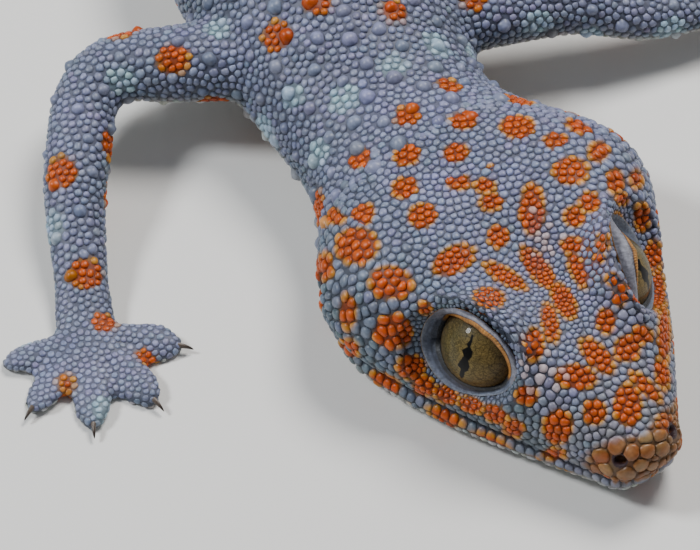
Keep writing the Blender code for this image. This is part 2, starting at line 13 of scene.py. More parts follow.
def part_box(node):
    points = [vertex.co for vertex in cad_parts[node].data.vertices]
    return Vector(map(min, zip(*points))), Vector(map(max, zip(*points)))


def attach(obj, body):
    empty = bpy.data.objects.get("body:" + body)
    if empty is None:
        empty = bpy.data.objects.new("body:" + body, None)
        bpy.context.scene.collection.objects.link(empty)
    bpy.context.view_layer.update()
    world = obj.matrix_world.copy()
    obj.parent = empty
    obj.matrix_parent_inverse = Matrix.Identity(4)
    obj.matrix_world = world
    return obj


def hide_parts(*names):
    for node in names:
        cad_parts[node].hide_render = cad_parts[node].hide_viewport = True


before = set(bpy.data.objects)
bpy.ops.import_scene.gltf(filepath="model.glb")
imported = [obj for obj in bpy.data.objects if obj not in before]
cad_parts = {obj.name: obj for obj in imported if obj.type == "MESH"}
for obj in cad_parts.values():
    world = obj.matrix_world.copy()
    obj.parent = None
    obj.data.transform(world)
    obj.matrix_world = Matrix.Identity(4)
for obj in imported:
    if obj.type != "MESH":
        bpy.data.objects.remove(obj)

MM = 0.001
SEED = 7

HEAD_NODES = ("head", "lower_jaw")
TORSO_NODES = ("neck", "torso_front", "torso_rear")
TAIL_NODES = ("tail_base", "tail_middle", "tail_rear", "tail_tip")
FLESH = tuple(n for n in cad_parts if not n.endswith("_eye"))
TOE_NODES = tuple(n for n in FLESH if n.endswith(("hand", "foot")))

# The body line: the way the snout points, and the line's turn in degrees a millimetre at stations behind it
HEAD_HEADING = -58.0
TURNS = (
    (0, 0.0), (44, 0.0), (56, 0.72), (150, 0.62), (178, 0.1),
    (215, -1.15), (262, -1.15), (290, 0.4), (315, 1.2),
)
BODY_LENGTH = 315.0
LINE_STEP = 0.25
HEAD_END = 44.0
HEAD_ROLL = 4.5
HEAD_LIFT = 0.9
LEVEL_FROM = 62.0
VENT = 163.0

# Eyes, nostrils, ears and mouth in (back from the snout tip, sideways, up), mm
EYE_CENTRE = (21.3, 7.6, 9.6)
EYE_LOOKS = (0.37, 0.77, 0.52)
EYE_RADIUS = 5.0
RING_OUT = 3.45  # how far along an eye's look the ring round its lids lies
RING_LEAN = 0.115  # how much further out the ring is for each mm above the eye's axis
OPENING_LIMIT = 0.965  # of the eyeball's radius that the lids may open
NOSTRIL_AT = (1.95, 3.5, 7.25)
NOSTRIL_RADII = (0.82, 0.58)
NOSTRIL_WAY = (-0.53, -0.85, 0.0)  # the opening's long way, for the left side
NOSTRIL_DEPTH = 1.1
NOSTRIL_PRESS = 1.8  # mm round a nostril's middle that are looked at when it is pressed in
NOSTRIL_ROOM = 0.72
NOSTRIL_WEIGHT = 0.95  # the size that the opening has for the scales round it, so that none reaches in
MOUTH_GROOVE = 0.65
MOUTH_WIDTH = 1.0  # mm on each side of the mouth line that the groove reaches
MOUTH_TOP = 10.0  # mm over the floor above which there is no groove
MOUTH_STEP = 0.3
MOUTH_ROOM = 0.72  # mm on each side of the mouth line that only the lips' plates reach into
# The skin this near the mouth line is painted dark as shade in its groove
MOUTH_SHADE = 0.4  # mm on each side of it that the skin is dark
EAR_AT = (38.8, 18.7, 8.8)
EAR_RADII = (1.3, 2.7, 2.8)
MOUTH_LINE = (
    (0.4, 1.2, 3.75),
    (3.0, 4.9, 3.4),
    (7.0, 7.1, 3.3),
    (11.7, 9.6, 3.4),
    (16.0, 12.0, 3.5),
    (21.0, 14.5, 3.7),
    (25.6, 16.6, 3.9),
    (31.0, 18.5, 4.2),
)

# The end of each limb: its side, its last stations (back, sideways, up), and its toes' turns and lengths
LIMBS = (
    (
        -1,
        ((63, 33.5, 5.6), (54.5, 38.5, 2.9), (48.5, 42, 1.9)),
        ((-72, 8.2), (-36, 10.2), (-2, 11.0), (33, 10.4), (74, 8.8)),
    ),
    (
        1,
        ((56.8, 34, 5.4), (54, 42, 2.9), (52, 48.5, 1.9)),
        ((-74, 8.8), (-37, 10.4), (0, 11.0), (35, 10.2), (72, 8.2)),
    ),
    (
        -1,
        ((149, 37, 5.6), (158, 44, 3.2), (163, 50.5, 2.0)),
        ((-78, 8.6), (-42, 11.2), (-8, 12.4), (26, 12.6), (68, 11.4)),
    ),
    (
        1,
        ((138, 37.5, 5.8), (146, 46, 3.2), (151, 53, 2.0)),
        ((-72, 11.2), (-30, 12.6), (4, 12.4), (38, 11.0), (76, 8.6)),
    ),
)
PALM = 4.4  # mm at the limb's end that the toes start from
TOE_ROOT_BACK = 2.6
TOE_ROOT_OUT = 1.8
CLAW_LENGTH = 1.9
CLAW_RADIUS = 0.36
CLAW_POINT = 0.02
CLAW_BEND = 1.15  # radians that a claw curves through
CLAW_RISE = 1.05  # mm over the floor that a claw starts
CLAW_SIDES = 10
CLAW_LEVELS = 9
CLAW_DROP = 0.75
CLAW_SUNK = 0.25  # of its length that a claw starts inside its toe
CLAW_TAPER = 0.7
CLAW_NARROW = 0.75  # of its height that a claw is wide
CLAW_FROM = 0.15  # how far past a toe's end the solids' claw is cut off
CLAW_ROOM = 4.0  # mm round a toe's end in which it is

# Skin: the flesh grown a little so that its lengths join, made one surface, smoothed, and drawn in
JOIN_GROWTH = 0.2
SKIN_VOXEL = 0.63
SKIN_SMOOTHING = 6
SKIN_LOWEST = 0.22
COAT_DEPTH = 0.32
COAT_HEIGHTS = (0.5, 4.5)  # mm over the floor between which the skin is drawn in more and more
COAT_LEAST = 0.35
TAIL_COAT = ((230, 310), (1.0, COAT_LEAST))
MOUTH_CUT = 1.4  # mm round the mouth line that are cut finer
NOSTRIL_CUT = 2.0

# Skin round the eyes, in mm: near the ring it comes up to it, and inside the ring it goes under the lids
ORBIT_FROM = 0.3  # how far out along the eye's look the skin is shaped
ORBIT_FACING = -0.3  # how squarely skin has to face that way to come up
RAISED_ROOM = 1.7  # how near to the ring it comes up
RAISED_UNDER = 0.1  # how far under the ring it stays
RAISED_SLOPES = (0.4, 2.4)  # outside the ring and inside
LOWERED_ROOM = 1.5  # how far outside the ring it still goes down
LOWERED_UNDER = 0.3  # how far under the lids it goes
LOWERED_OVER = 0.05  # how far over the ring it may stand outside
LOWERED_SLOPE = 0.8
ORBIT_MARGIN = 0.05  # how far outside the ring the scales stay

# Scales
HEAD_SIDES = 12
BODY_SIDES = 7
TUBERCLE_SIDES = 12
CANDIDATES = 12.0  # places tried for each scale that fits
SIZE_SPREAD = 0.12
CROWDED = 0.86  # of two scales' radii together, nearer than which one of them goes
FIXED_CROWDED = 0.94  # the same beside plates and tubercles
NEIGHBOURS = 1.9  # of two scales' radii together, nearer than which they shape each other
SAME_SIDE = 0.25  # how alike two scales have to face to be neighbours
SCALE_TURN = (0.32, 0.81, 0.49)  # the direction that each scale's outline starts square to
RELAX_STEPS = 9
RELAX_ROOM = 1.02
RELAX_PUSH = 0.3
REACH_LIMIT = 1.6  # of its radius that a scale may grow into open room
GAP_SHARE = 0.95  # of the way to the next scale's edge
BEND_LIMIT = 0.7  # mm that a scale's edge may be bent down to the skin
SUNK = 0.14  # mm that a scale's foot is below the skin
LOWEST = 0.005  # mm over the floor that every foot stays
UNWRAP_EDGE = 0.01
UNWRAP_HEIGHT = 6.0  # mm over the floor of the line that the unwrap goes round
PATCH = 0.003  # width of a scale's patch on its piece's unwrap
PATCH_SHARES = (1.0, 0.85, 0.45)  # of the patch that each ring of a scale takes
PIECE_TRIANGLES = 190000
PROFILES = {  # (share of the reach, share of the height) of each ring from the foot up; the foot is sunk
    "bead": ((1.0, None), (0.9, 0.52), (0.52, 0.92)),
    "cone": ((1.0, None), (0.84, 0.36), (0.42, 0.78)),
    "plate": ((1.0, None), (0.95, 0.66), (0.7, 0.95)),
    "lip": ((0.97, None), (0.88, 0.62), (0.58, 0.95)),
}
# Painted shade and highlight on each scale: its colour is darkest at the sunk foot in the gaps and lighter
# towards the top
RING_PAINTED_SHADE = (0.34, 0.87, 1.02)
TOP_PAINTED_HIGHLIGHT = 1.06

# Radii of scales in mm, as places back from the snout and the radius at each
HEAD_RADII = ((0, 12, 20, 28, 44), (0.46, 0.44, 0.4, 0.44, 0.46))
HEAD_SIZE = 0.92
TAIL_RADII = ((VENT, 200, 260, 310), (0.5, 0.5, 0.42, 0.3))
TAIL_TUBERCLES = ((VENT, 300), (1.9, 1.1))
TRUNK_RADIUS = 0.43
LIMB_RADIUS = 0.42
TOE_RADIUS = 0.36
THROAT_RADIUS = 0.5
THROAT_TOP = 1.6
ORBIT_SCALES = (0.2, 0.16, 2.0)  # the radius at the ring, its growth for each mm away, and how far that goes
UNDERSIDE = (4.5, 2.0)  # heights between which scales get larger towards the belly
UNDER_TAIL = 0.3  # how much larger they get
UNDER_TRUNK = 0.4
# Parts of the head with smaller or larger scales: the change, its place back and aside, its reach, its floor
HEAD_PARTS = ((-0.14, (20.0, 0.0), (6.5, 4.6), 9), (0.16, (14.5, 6.4), (4.2, 2.5), 8))
CHEEK_CHANGE = 0.16
CHEEK_OUT = (10, 15)
CHEEK_BACK = (22, 28)

# Tubercles: half the distance between them, the lowest place, and their size as a share of that distance
TRUNK_SPACING = 1.75
LIMB_SPACING = 2.0
TUBERCLES_FROM = 3.5
TUBERCLE_SHARES = (0.42, 0.54)
LIMB_SHARE = 0.76  # how large they are on the limbs, beside the same place on the trunk

# Lips: each row's rise over the mouth line, its first place and its size; then radii and spacing going back
LIP_ROWS = ((1.08, 0.0, 1.0), (-0.78, 0.45, 0.84))
LIP_RADII = ((0, 10, 31), (0.78, 0.74, 0.64))
LIP_SPACING = ((0, 3, 7, 31), (0.35, 0.7, 0.85, 0.9))
LIP_PITCH = 1.95  # plate's radii from one plate to the next, before their spacing
LIP_END = 0.5  # mm before the mouth's corner
LIP_OUT = 1.02
PLATES_APART = 0.8  # of two plates' radii together, nearer than which the lip's goes
PLATE_SIZE = 1.25
PLATE_WIDENING = 1.05
PLATE_UNEVEN = 1.6  # how much more the snout's plates differ in colour

# Heights of scales as a share of their radius
LIP_HEIGHT = 0.29
BEAD_HEIGHT = 0.62
TUBERCLE_HEIGHT = 0.85
GRANULE_HEIGHT = 0.6
SOLE_HEIGHT = 0.35
SOLE_TOP = 3.0  # mm over the floor under which granules have that last height

# The snout's brown tip, in mm: where it fades going back, how its edge slants back aside, its lowest height
SNOUT_TIP = (2.8, 2.0)
SNOUT_SLANT = 0.45
SNOUT_FROM = 3.2

# Camera: it looks down along +Y; the snout tip is where the photo has it
ELEVATION = 52.0
CAMERA_DISTANCE = 700.0
PICTURE_WIDTH = 74.5  # mm across the picture at the head
PICTURE_MIDDLE = (-33.1, 15.4, 19.6)  # mm from the snout tip
PICTURE_PIXELS = (700, 550)
PIXEL = PICTURE_WIDTH / PICTURE_PIXELS[0]
SENSOR = 36.0

# Lights: each one's name, place in metres from the head, width in metres, watts and colour
LIGHTS = (
    ("key", (0.28, 0.42, 0.8), 0.4, 8.1, (1.0, 0.98, 0.95)),
    ("window", (-0.645, 0.07, 0.625), 0.2, 5.9, (0.95, 0.98, 1.0)),
)
LIT_PLACE = (20, 0, 8)  # on the head
SKY = (0.72, 0.76, 0.82, 1)
SKY_STRENGTH = 0.295
FLOOR = (0.8, 0.79, 0.77, 1)
FLOOR_SIZE = 6.0  # metres

ORANGE = (0.5, 0.08, 0.0)
DEEP_ORANGE = (0.36, 0.033, 0.0)
RIM_YELLOW = (0.52, 0.21, 0.002)
LAVENDER = (0.248, 0.26, 0.415)
SLATE = (0.1, 0.138, 0.17)
WARM_GREY = (0.2, 0.188, 0.205)
PALE_BLUE = (0.36, 0.5, 0.6)
BELLY = (0.5, 0.5, 0.47)
SNOUT_BROWN = (0.22, 0.072, 0.012)
SNOUT_TAN = (0.22, 0.125, 0.055)
# Painted shade in the mouth's groove, the nostrils and the ears
RECESS_SHADE = (0.035, 0.014, 0.018)
HORN_ROOT = (0.13, 0.1, 0.08)
HORN_TIP = (0.03, 0.02, 0.016)
# Painted shade on the skin inside the ring round an eye, under the lids
ORBIT_SHADE = (0.06, 0.07, 0.1)
WORN = (0.1, 0.07, 0.11)
SHED = (0.62, 0.47, 0.45)
IRIS_GOLD = (0.15, 0.105, 0.035)
IRIS_OLIVE = (0.066, 0.057, 0.026)
IRIS_BROWN = (0.062, 0.035, 0.016)
IRIS_VEIN = (0.03, 0.022, 0.01)
IRIS_WARMTH = (0.22, 0.1, 0.0)  # how much redder and lighter the iris is towards its front
PUPIL_BLACK = (0.002, 0.002, 0.002)

# Markings seen in the photo: orange spots as pixel centre, width, height and turn in degrees
PHOTO_SPOTS = (
    (571, 171, 35, 27, 0), (599, 152, 20, 21, 0), (615, 181, 16, 24, 0), (622, 199, 12, 12, 0),
    (636, 179, 12, 18, 0), (589, 202, 20, 20, 0), (574, 217, 20, 20, 0), (642, 217, 15, 28, 0),
    (532, 209, 24, 50, 0), (491, 202, 22, 18, 0), (498, 237, 21, 22, 0), (571, 245, 20, 16, 0),
    (603, 242, 16, 17, 0), (599, 258, 11, 11, 0), (538, 268, 20, 50, -38), (564, 301, 20, 38, -28),
    (577, 269, 14, 38, -22), (505, 276, 15, 46, -60), (612, 279, 13, 13, 0), (620, 294, 15, 25, 0),
    (654, 256, 17, 30, 0), (658, 290, 13, 40, 0), (664, 335, 11, 60, 0), (617, 220, 8, 14, 0),
    (606, 321, 18, 25, 0), (642, 335, 20, 18, 0), (627, 349, 26, 26, 0), (597, 356, 20, 44, -42),
    (576, 377, 40, 24, 8), (550, 323, 16, 38, -12), (595, 412, 23, 25, 0), (628, 405, 28, 42, 0),
    (646, 387, 13, 38, -45), (662, 374, 14, 30, -12), (665, 424, 17, 22, 0), (558, 427, 29, 34, 0),
    (554, 454, 22, 12, 0), (602, 460, 18, 14, 0), (679, 410, 8, 26, 0), (489, 298, 30, 20, 10),
    (534, 345, 19, 32, 0), (527, 395, 22, 18, 0), (425, 308, 13, 12, 0), (411, 367, 28, 24, 0),
    (424, 386, 22, 20, 30), (446, 395, 26, 16, 24), (471, 405, 26, 15, 20), (495, 414, 26, 16, 25),
    (514, 428, 20, 18, 30), (445, 417, 34, 11, 24), (491, 443, 42, 12, 24), (533, 462, 20, 10, 18),
    (559, 476, 18, 9, 18), (591, 485, 20, 8, 10), (383, 384, 34, 21, 15), (381, 406, 16, 14, 0),
    (357, 246, 42, 36, 0), (325, 267, 16, 26, 0), (391, 283, 42, 33, 10), (393, 332, 38, 34, 0),
    (348, 312, 16, 32, 0), (349, 349, 20, 20, 0), (454, 260, 44, 26, -28), (458, 182, 24, 16, 0),
    (485, 186, 20, 14, 0), (335, 215, 24, 18, 0),
)
SHED_PATCHES = ((528, 370, 90, 70), (548, 228, 44, 64))  # where bits of old skin cling, as for the spots
SHED_CHANCE = 0.32
PATCH_EDGE = (1.2, 0.2)  # shares of the way to a patch's edge between which it fades in
DIRTY_PATCH = (542, 240, 34, 60)  # purplish worn patch between the eyes, as for the spots
SHOWN_FROM = 0.12  # how squarely a surface faces the camera for the photo's markings to count there
SHOWN_REGION = (  # the outline of the part of the head that the photo shows, in pixels
    (300, 222), (345, 214), (385, 236), (412, 256), (436, 236), (446, 178), (490, 168), (545, 158),
    (575, 136), (640, 130), (760, 240), (760, 520), (560, 520), (440, 440), (360, 420), (300, 360),
)

# Spots that the photo doesn't show, in mm
HEAD_SPOT_ROOM = 2.5
BODY_SPOT_ROOM = 3.5
SPOT_RADII = (1.15, 1.9)
SPOT_TRIES = 0.25  # of the skin's triangles that are tried as a spot's middle
SPOT_EDGE = (-0.03, 0.05)  # depths in a spot between which orange takes over
RIM_DEPTH = -0.05
RIM_WIDTH = 0.13
PALE_EDGE = (-0.2, 0.3)
BAND_WIDTH = 8.5  # of the rows of pale spots and of the dark bands, along the body
PALE_CHANCE = 0.85
LIGHT_SPREAD = 0.1  # how much scales differ in lightness
LIGHT_LIMITS = (0.6, 1.5)
HUE_SPREAD = 0.035

# Ground colours on the head, in mm: where the warm grey ends, the chin, the near cheek where painted shade
# starts, and the forehead
WARM_BACK = (18, 8)
CHIN = (3.6, 2.0)
SHADED_CHEEK_FROM = -8
FOREHEAD_FROM = 9

# How light the skin is between the scales, beside the scales themselves, darker as painted shade in the gaps
SHADE_BETWEEN_PLATES = 0.5
SHADE_BETWEEN_HEAD_SCALES = 0.34
SHADE_BETWEEN_BODY_SCALES = 0.42

# Plates at the snout's tip, as pixel centre, width and height
SNOUT_PLATES = (
    (617, 446, 18, 12), (632, 453, 14, 16), (647, 451, 15, 16), (662, 448, 14, 15), (660, 436, 12, 12),
    (641, 465, 17, 13), (652, 466, 11, 12), (626, 473, 20, 16), (601, 456, 13, 15), (606, 469, 14, 13),
    (642, 479, 18, 13), (658, 478, 15, 13), (667, 462, 12, 16), (646, 438, 12, 11),
)

# The near eye in pixels of the photo: its opening, the outer edge of the ring round its lids, and its pupil
EYE_OPENING = (
    (433, 321), (451, 315.7), (466, 322.9), (481.6, 334), (497, 347), (506, 361), (509, 372),
    (503, 382), (488, 387), (470, 385), (456, 377), (446, 365), (440, 350), (436, 334),
)
EYE_RING = (
    (421, 334), (421, 346), (426, 360), (435, 375), (450, 388), (470, 394.5), (488, 395.5), (506, 391),
    (515.6, 378), (517, 366), (514, 355), (506, 343), (492, 329), (476, 316), (460, 309), (445, 307.5),
    (434, 312), (426, 321),
)
EYE_CORNERS = ((441, 312), (514, 372))
PUPIL_BACK = (
    (471.6, 334.5), (470.2, 340), (466.8, 344), (468, 347), (462.0, 349.6), (463.8, 355.5), (460.2, 361),
    (457.6, 365), (461.0, 369), (459.4, 375), (461.4, 378.5),
)
PUPIL_FRONT = (
    (473.0, 337), (472.0, 342), (470.2, 347), (472.8, 352), (471.6, 357), (468.2, 361), (469.4, 367),
    (467.6, 371), (464.8, 372), (463.6, 377), (461.4, 378.5),
)
EYE_SIDES = 288
EYE_SHOWN = (0, 75, 84)  # degrees from its look that an eyeball's fine rings span, and their number
EYE_HIDDEN = (80, 180, 12)
FAR_LID = 0.8  # how much further the far eye's upper lid comes down, in mm
FAR_SLIT_TURN = 25.0  # how the far eye's slit is turned and moved, in degrees and mm
FAR_SLIT_MOVE = (1.2, 0.8)

# The lids' section: mm from the opening, share of the rest, then rise and colour of the upper and lower lid
LID_SECTION = (
    (0.0, 0.0, -0.3, "inner", -0.3, "inner"),
    (0.0, 0.0, 0.5, "inner", 0.0, "inner"),
    (0.0, 0.0, 1.3, "rust", 0.05, "inner"),
    (0.04, 0.0, 1.62, "rust", 0.07, "inner"),
    (0.16, 0.0, 1.78, "edge", 0.07, "inner"),
    (0.34, 0.0, 1.82, "edge", 0.05, "inner"),
    (0.5, 0.0, 1.74, "edge", 0.02, "inner"),
    (0.62, 0.0, 1.6, "rust", 0.0, "deep_shade"),
    (0.68, 0.0, 1.5, "fold_shade", -0.03, "deep_shade"),
    (0.74, 0.06, 1.54, "band", -0.06, "deep_shade"),
    (0.74, 0.22, 1.5, "band", -0.1, "deep_shade"),
    (0.74, 0.42, 1.26, "band", -0.12, "shade"),
    (0.74, 0.62, 0.92, "band", -0.06, "shade"),
    (0.74, 0.8, 0.54, "band", 0.04, "pale"),
    (0.74, 0.9, 0.28, "band", 0.1, "pale"),
    (0.74, 0.95, 0.16, "line", 0.1, "pale"),
    (0.74, 1.0, -0.02, "line", 0.08, "gold"),
    (0.8, 1.03, -0.4, "shade", -0.35, "shade"),
)
# Of these, the darkest colours on the upper lid's wall under its edge and along the lower lid's inner margin,
# the one in the fold behind the upper lid's edge, and the darker blue-greys going out over the lower lid are
# painted shade
LID_COLOURS = {
    "edge": (0.36, 0.16, 0.035),
    "rust": (0.17, 0.07, 0.018),
    "line": (0.3, 0.13, 0.02),
    "fold_shade": (0.05, 0.045, 0.05),
    "band": (0.21, 0.21, 0.25),
    "inner": (0.03, 0.032, 0.036),
    "deep_shade": (0.055, 0.064, 0.09),
    "shade": (0.125, 0.145, 0.2),
    "pale": (0.17, 0.19, 0.24),
    "gold": (0.3, 0.2, 0.09),
}
LID_POINTS = 420
LID_BEADS = 64
LID_BEAD_RISE = 0.07
LID_BEADS_OVER = 1.2  # rise in mm over which a row of the lids' section has beads
LID_CLEARANCE = 0.03
LID_CORNER = 0.06  # radians on each side of a corner in which the upper lid turns into the lower
LID_TINT_WIDER = 0.3
LID_EDGE_LIMIT = 0.45  # share of the way to the ring that the lids' own edge may take
RING_SMOOTHING = 12
HIGH_OVER_EYE = 9.0  # mm out from which the skin is looked for


def ramp(value, start, end):
    """How far a value is on its way from start to end, between 0 and 1."""
    return np.clip((value - start) / (end - start), 0, 1)


def unit(vectors):
    """Vectors of length one."""
    return vectors / np.maximum(np.linalg.norm(vectors, axis=-1, keepdims=True), 1e-12)


def turns(sides):
    """Evenly spaced angles once round."""
    return 2 * math.pi * np.arange(sides) / sides


def spline(at, stations, values):
    """Values of a smooth curve that passes through every (station, value)."""
    at = np.clip(at, stations[0], stations[-1])
    slopes = np.gradient(values, stations)
    i = np.clip(np.searchsorted(stations, at, side="right") - 1, 0, len(stations) - 2)
    width = stations[i + 1] - stations[i]
    t = (at - stations[i]) / width
    return (
        (1 + 2 * t) * (1 - t) ** 2 * values[i]
        + t * (1 - t) ** 2 * width * slopes[i]
        + t * t * (3 - 2 * t) * values[i + 1]
        + t * t * (t - 1) * width * slopes[i + 1]
    )


# Places on the animal and in the picture


def body_line():
    """The line's stations, points in plan and its heading towards the tail, a step at a time."""
    stations = np.arange(0.0, BODY_LENGTH + 1.0, LINE_STEP)
    turn = np.interp(stations, *np.array(TURNS).T)
    heading = np.radians(HEAD_HEADING + 180.0 - np.concatenate([[0], np.cumsum(turn[:-1] * LINE_STEP)]))
    steps = LINE_STEP * np.stack([np.cos(heading), np.sin(heading)], 1)
    points = np.concatenate([[[0.0, 0.0]], np.cumsum(steps[:-1], axis=0)])
    return stations, points, heading


STATIONS, LINE, HEADING = body_line()


def place(back, side, up):
    """Points in mm, with the snout tip as origin, for places along the body line, to its left, and up."""
    back, side, up = (np.asarray(v, float) for v in np.broadcast_arrays(back, side, up))
    share = ramp(back, LEVEL_FROM, HEAD_END)
    share = share * share * (3 - 2 * share)
    roll = math.radians(HEAD_ROLL) * share
    out = side * np.cos(roll) - up * np.sin(roll)
    height = HEAD_LIFT * share + up * np.cos(roll) + side * np.sin(roll)
    heading = np.interp(back, STATIONS, HEADING)
    ahead = np.minimum(back, 0.0)
    x = np.interp(back, STATIONS, LINE[:, 0]) + np.sin(heading) * out + ahead * np.cos(heading)
    y = np.interp(back, STATIONS, LINE[:, 1]) - np.cos(heading) * out + ahead * np.sin(heading)
    return np.stack([x, y, height], -1)


def snout_offset():
    """Where the body line's origin is in the frame, in mm, from the middle of the right eye."""
    low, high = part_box("right_eye")
    back, side, up = EYE_CENTRE
    return np.array((low + high) / 2) / MM - place(back, -side, up)


OFFSET = snout_offset()
HEAD_AXES = np.array([place(*step) - place(0, 0, 0) for step in np.eye(3)])


def on_head(at, side):
    """A point of the frame, in mm, for a place on the head's left side, or on its right where side is -1."""
    back, out, up = at
    return place(back, side * out, up) + OFFSET


def head_places(points):
    """(back, side, up) on the head for points of the frame in mm."""
    return (points - OFFSET - place(0, 0, 0)) @ HEAD_AXES.T


def body_places(points):
    """(station, side, up) along the body line for points of the frame in mm."""
    flat = points[:, :2] - OFFSET[:2]
    station = np.empty(len(points))
    for start in range(0, len(points), 4000):
        part = flat[start : start + 4000]
        gaps = ((part[:, None] - LINE[None, ::4]) ** 2).sum(-1)
        station[start : start + 4000] = STATIONS[::4][gaps.argmin(1)]
    heading = np.interp(station, STATIONS, HEADING)
    at = np.stack([np.interp(station, STATIONS, LINE[:, k]) for k in (0, 1)], 1)
    side = (flat[:, 0] - at[:, 0]) * np.sin(heading) - (flat[:, 1] - at[:, 1]) * np.cos(heading)
    return np.stack([station, side, points[:, 2]], 1)


def camera_view():
    """The camera's place in mm, and its right, up and forward directions."""
    tilt = math.radians(ELEVATION)
    right = np.array((1.0, 0.0, 0.0))
    forward = np.array((0.0, math.cos(tilt), -math.sin(tilt)))
    eye = OFFSET + np.array(PICTURE_MIDDLE) - forward * CAMERA_DISTANCE
    return eye, right, np.cross(right, forward), forward


def pixels_of(points):
    """Picture coordinates of points in mm."""
    eye, right, up, forward = camera_view()
    rays = points - eye
    scale = CAMERA_DISTANCE / (rays @ forward) / PIXEL
    x = PICTURE_PIXELS[0] / 2 + rays @ right * scale
    y = PICTURE_PIXELS[1] / 2 - rays @ up * scale
    return np.stack([x, y], 1)


def ray_through(pixel):
    """The camera's place and the direction through a pixel."""
    eye, right, up, forward = camera_view()
    across = (pixel[0] - PICTURE_PIXELS[0] / 2) * PIXEL
    down = (pixel[1] - PICTURE_PIXELS[1] / 2) * PIXEL
    return eye, unit(forward * CAMERA_DISTANCE + right * across - up * down)


# Meshes


def show(obj):
    """Puts an object in the scene."""
    bpy.context.scene.collection.objects.link(obj)
    return obj


def set_points(mesh, points):
    """Moves a mesh's vertices to points in mm."""
    mesh.vertices.foreach_set("co", (points * MM).astype(np.float32).ravel())


def mesh_object(name, points, quads, triangles=()):
    """A smooth object from points in mm, quads and triangles."""
    triangles = np.asarray(triangles, int).reshape(-1, 3)
    mesh = bpy.data.meshes.new(name)
    mesh.vertices.add(len(points))
    set_points(mesh, points)
    loops = np.concatenate([quads.ravel(), triangles.ravel()]).astype(np.int32)
    totals = np.repeat((4, 3), (len(quads), len(triangles))).astype(np.int32)
    mesh.loops.add(len(loops))
    mesh.loops.foreach_set("vertex_index", loops)
    mesh.polygons.add(len(totals))
    mesh.polygons.foreach_set("loop_start", (np.cumsum(totals) - totals).astype(np.int32))
    mesh.polygons.foreach_set("loop_total", totals)
    mesh.update(calc_edges=True)
    mesh.shade_smooth()
    return show(bpy.data.objects.new(name, mesh))


def tube_quads(levels, sides):
    """Quads between rings of points that follow each other."""
    k = np.arange(sides)
    after = (k + 1) % sides
    rows = np.arange(levels - 1)[:, None] * sides
    return np.stack([rows + k, rows + after, rows + sides + after, rows + sides + k], -1).reshape(-1, 4)


def tint(obj, colours):
    """Gives each vertex of an object its colour."""
    rgba = np.ones((len(colours), 4), np.float32)
    rgba[:, :3] = np.clip(colours, 0, 1)
    layer = obj.data.color_attributes.new("tint", "FLOAT_COLOR", "POINT")
    layer.data.foreach_set("color", rgba.ravel())


def wear(obj, material):
    """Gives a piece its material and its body."""
    obj.data.materials.append(material)
    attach(obj, "root")


def points_of(mesh):
    """A mesh's vertices in mm."""
    points = np.empty(len(mesh.vertices) * 3, np.float32)
    mesh.vertices.foreach_get("co", points)
    return points.reshape(-1, 3).astype(float) / MM


def normals_of(mesh):
    """A mesh's vertex normals."""
    normals = np.empty(len(mesh.vertices) * 3, np.float32)
    mesh.vertex_normals.foreach_get("vector", normals)
    return normals.reshape(-1, 3).astype(float)


def tree_of(points):
    """Points ready for finding the nearest."""
    tree = KDTree(len(points))
    for i, p in enumerate(np.asarray(points, float).tolist()):
        tree.insert(p, i)
    tree.balance()
    return tree


# The toes' ends


def toe_tips():
    """Place and direction of each clawed toe's tip, in mm. The shortest toe of a limb has no claw."""
    tips = []
    for side, points, toes in LIMBS:
        controls = np.array([place(b, s * side, up) for b, s, up in points]) + OFFSET
        lengths = np.concatenate([[0], np.cumsum(np.linalg.norm(np.diff(controls, axis=0), axis=1))])
        at = np.array((lengths[-1] - PALM, lengths[-1]))
        near, end = np.stack([spline(at, lengths, controls[:, k]) for k in range(3)], 1)
        heading = math.atan2(*(end - near)[1::-1])
        ahead = np.array((math.cos(heading), math.sin(heading), 0.0))
        shortest = min(length for _, length in toes)
        for turn, length in toes:
            if length == shortest:
                continue
            way = heading + math.radians(turn)
            along = np.array((math.cos(way), math.sin(way), 0.0))
            root = np.array((end[0], end[1], 0.0)) - TOE_ROOT_BACK * ahead + TOE_ROOT_OUT * along
            tips.append((root + along * length, along))
    return tips


TOE_TIPS = toe_tips()


# The skin


def draw_in_claws(bm):
    """Takes the solids' claws back into the toes, because the scene's own claws stand for them."""
    for tip, along in TOE_TIPS:
        limit = tip @ along + CLAW_FROM
        for v in bm.verts:
            at = np.array(v.co) / MM
            beyond = at @ along - limit
            if 0 < beyond < CLAW_ROOM and np.linalg.norm((at - tip)[:2]) < CLAW_ROOM:
                v.co -= Vector(along) * beyond * MM


def grown_flesh():
    """All flesh nodes as one mesh, each grown enough to meet the next."""
    joined = bmesh.new()
    for name in FLESH:
        bm = bmesh.new()
        bm.from_mesh(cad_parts[name].data)
        bmesh.ops.remove_doubles(bm, verts=bm.verts, dist=1e-6)
        bm.normal_update()
        for v in bm.verts:
            v.co += v.normal * JOIN_GROWTH * MM
        draw_in_claws(bm)
        mesh = bpy.data.meshes.new("grown")
        bm.to_mesh(mesh)
        bm.free()
        joined.from_mesh(mesh)
        bpy.data.meshes.remove(mesh)
    mesh = bpy.data.meshes.new("flesh")
    joined.to_mesh(mesh)
    joined.free()
    return mesh


def coat_depth(points):
    """How far the skin lies under the solids' surface: less at the toes and the tail's tip."""
    near_floor = np.maximum(ramp(points[:, 2], *COAT_HEIGHTS), COAT_LEAST)
    slender = np.interp(body_places(points)[:, 0], *TAIL_COAT)
    return (COAT_DEPTH + JOIN_GROWTH) * np.minimum(near_floor, slender)


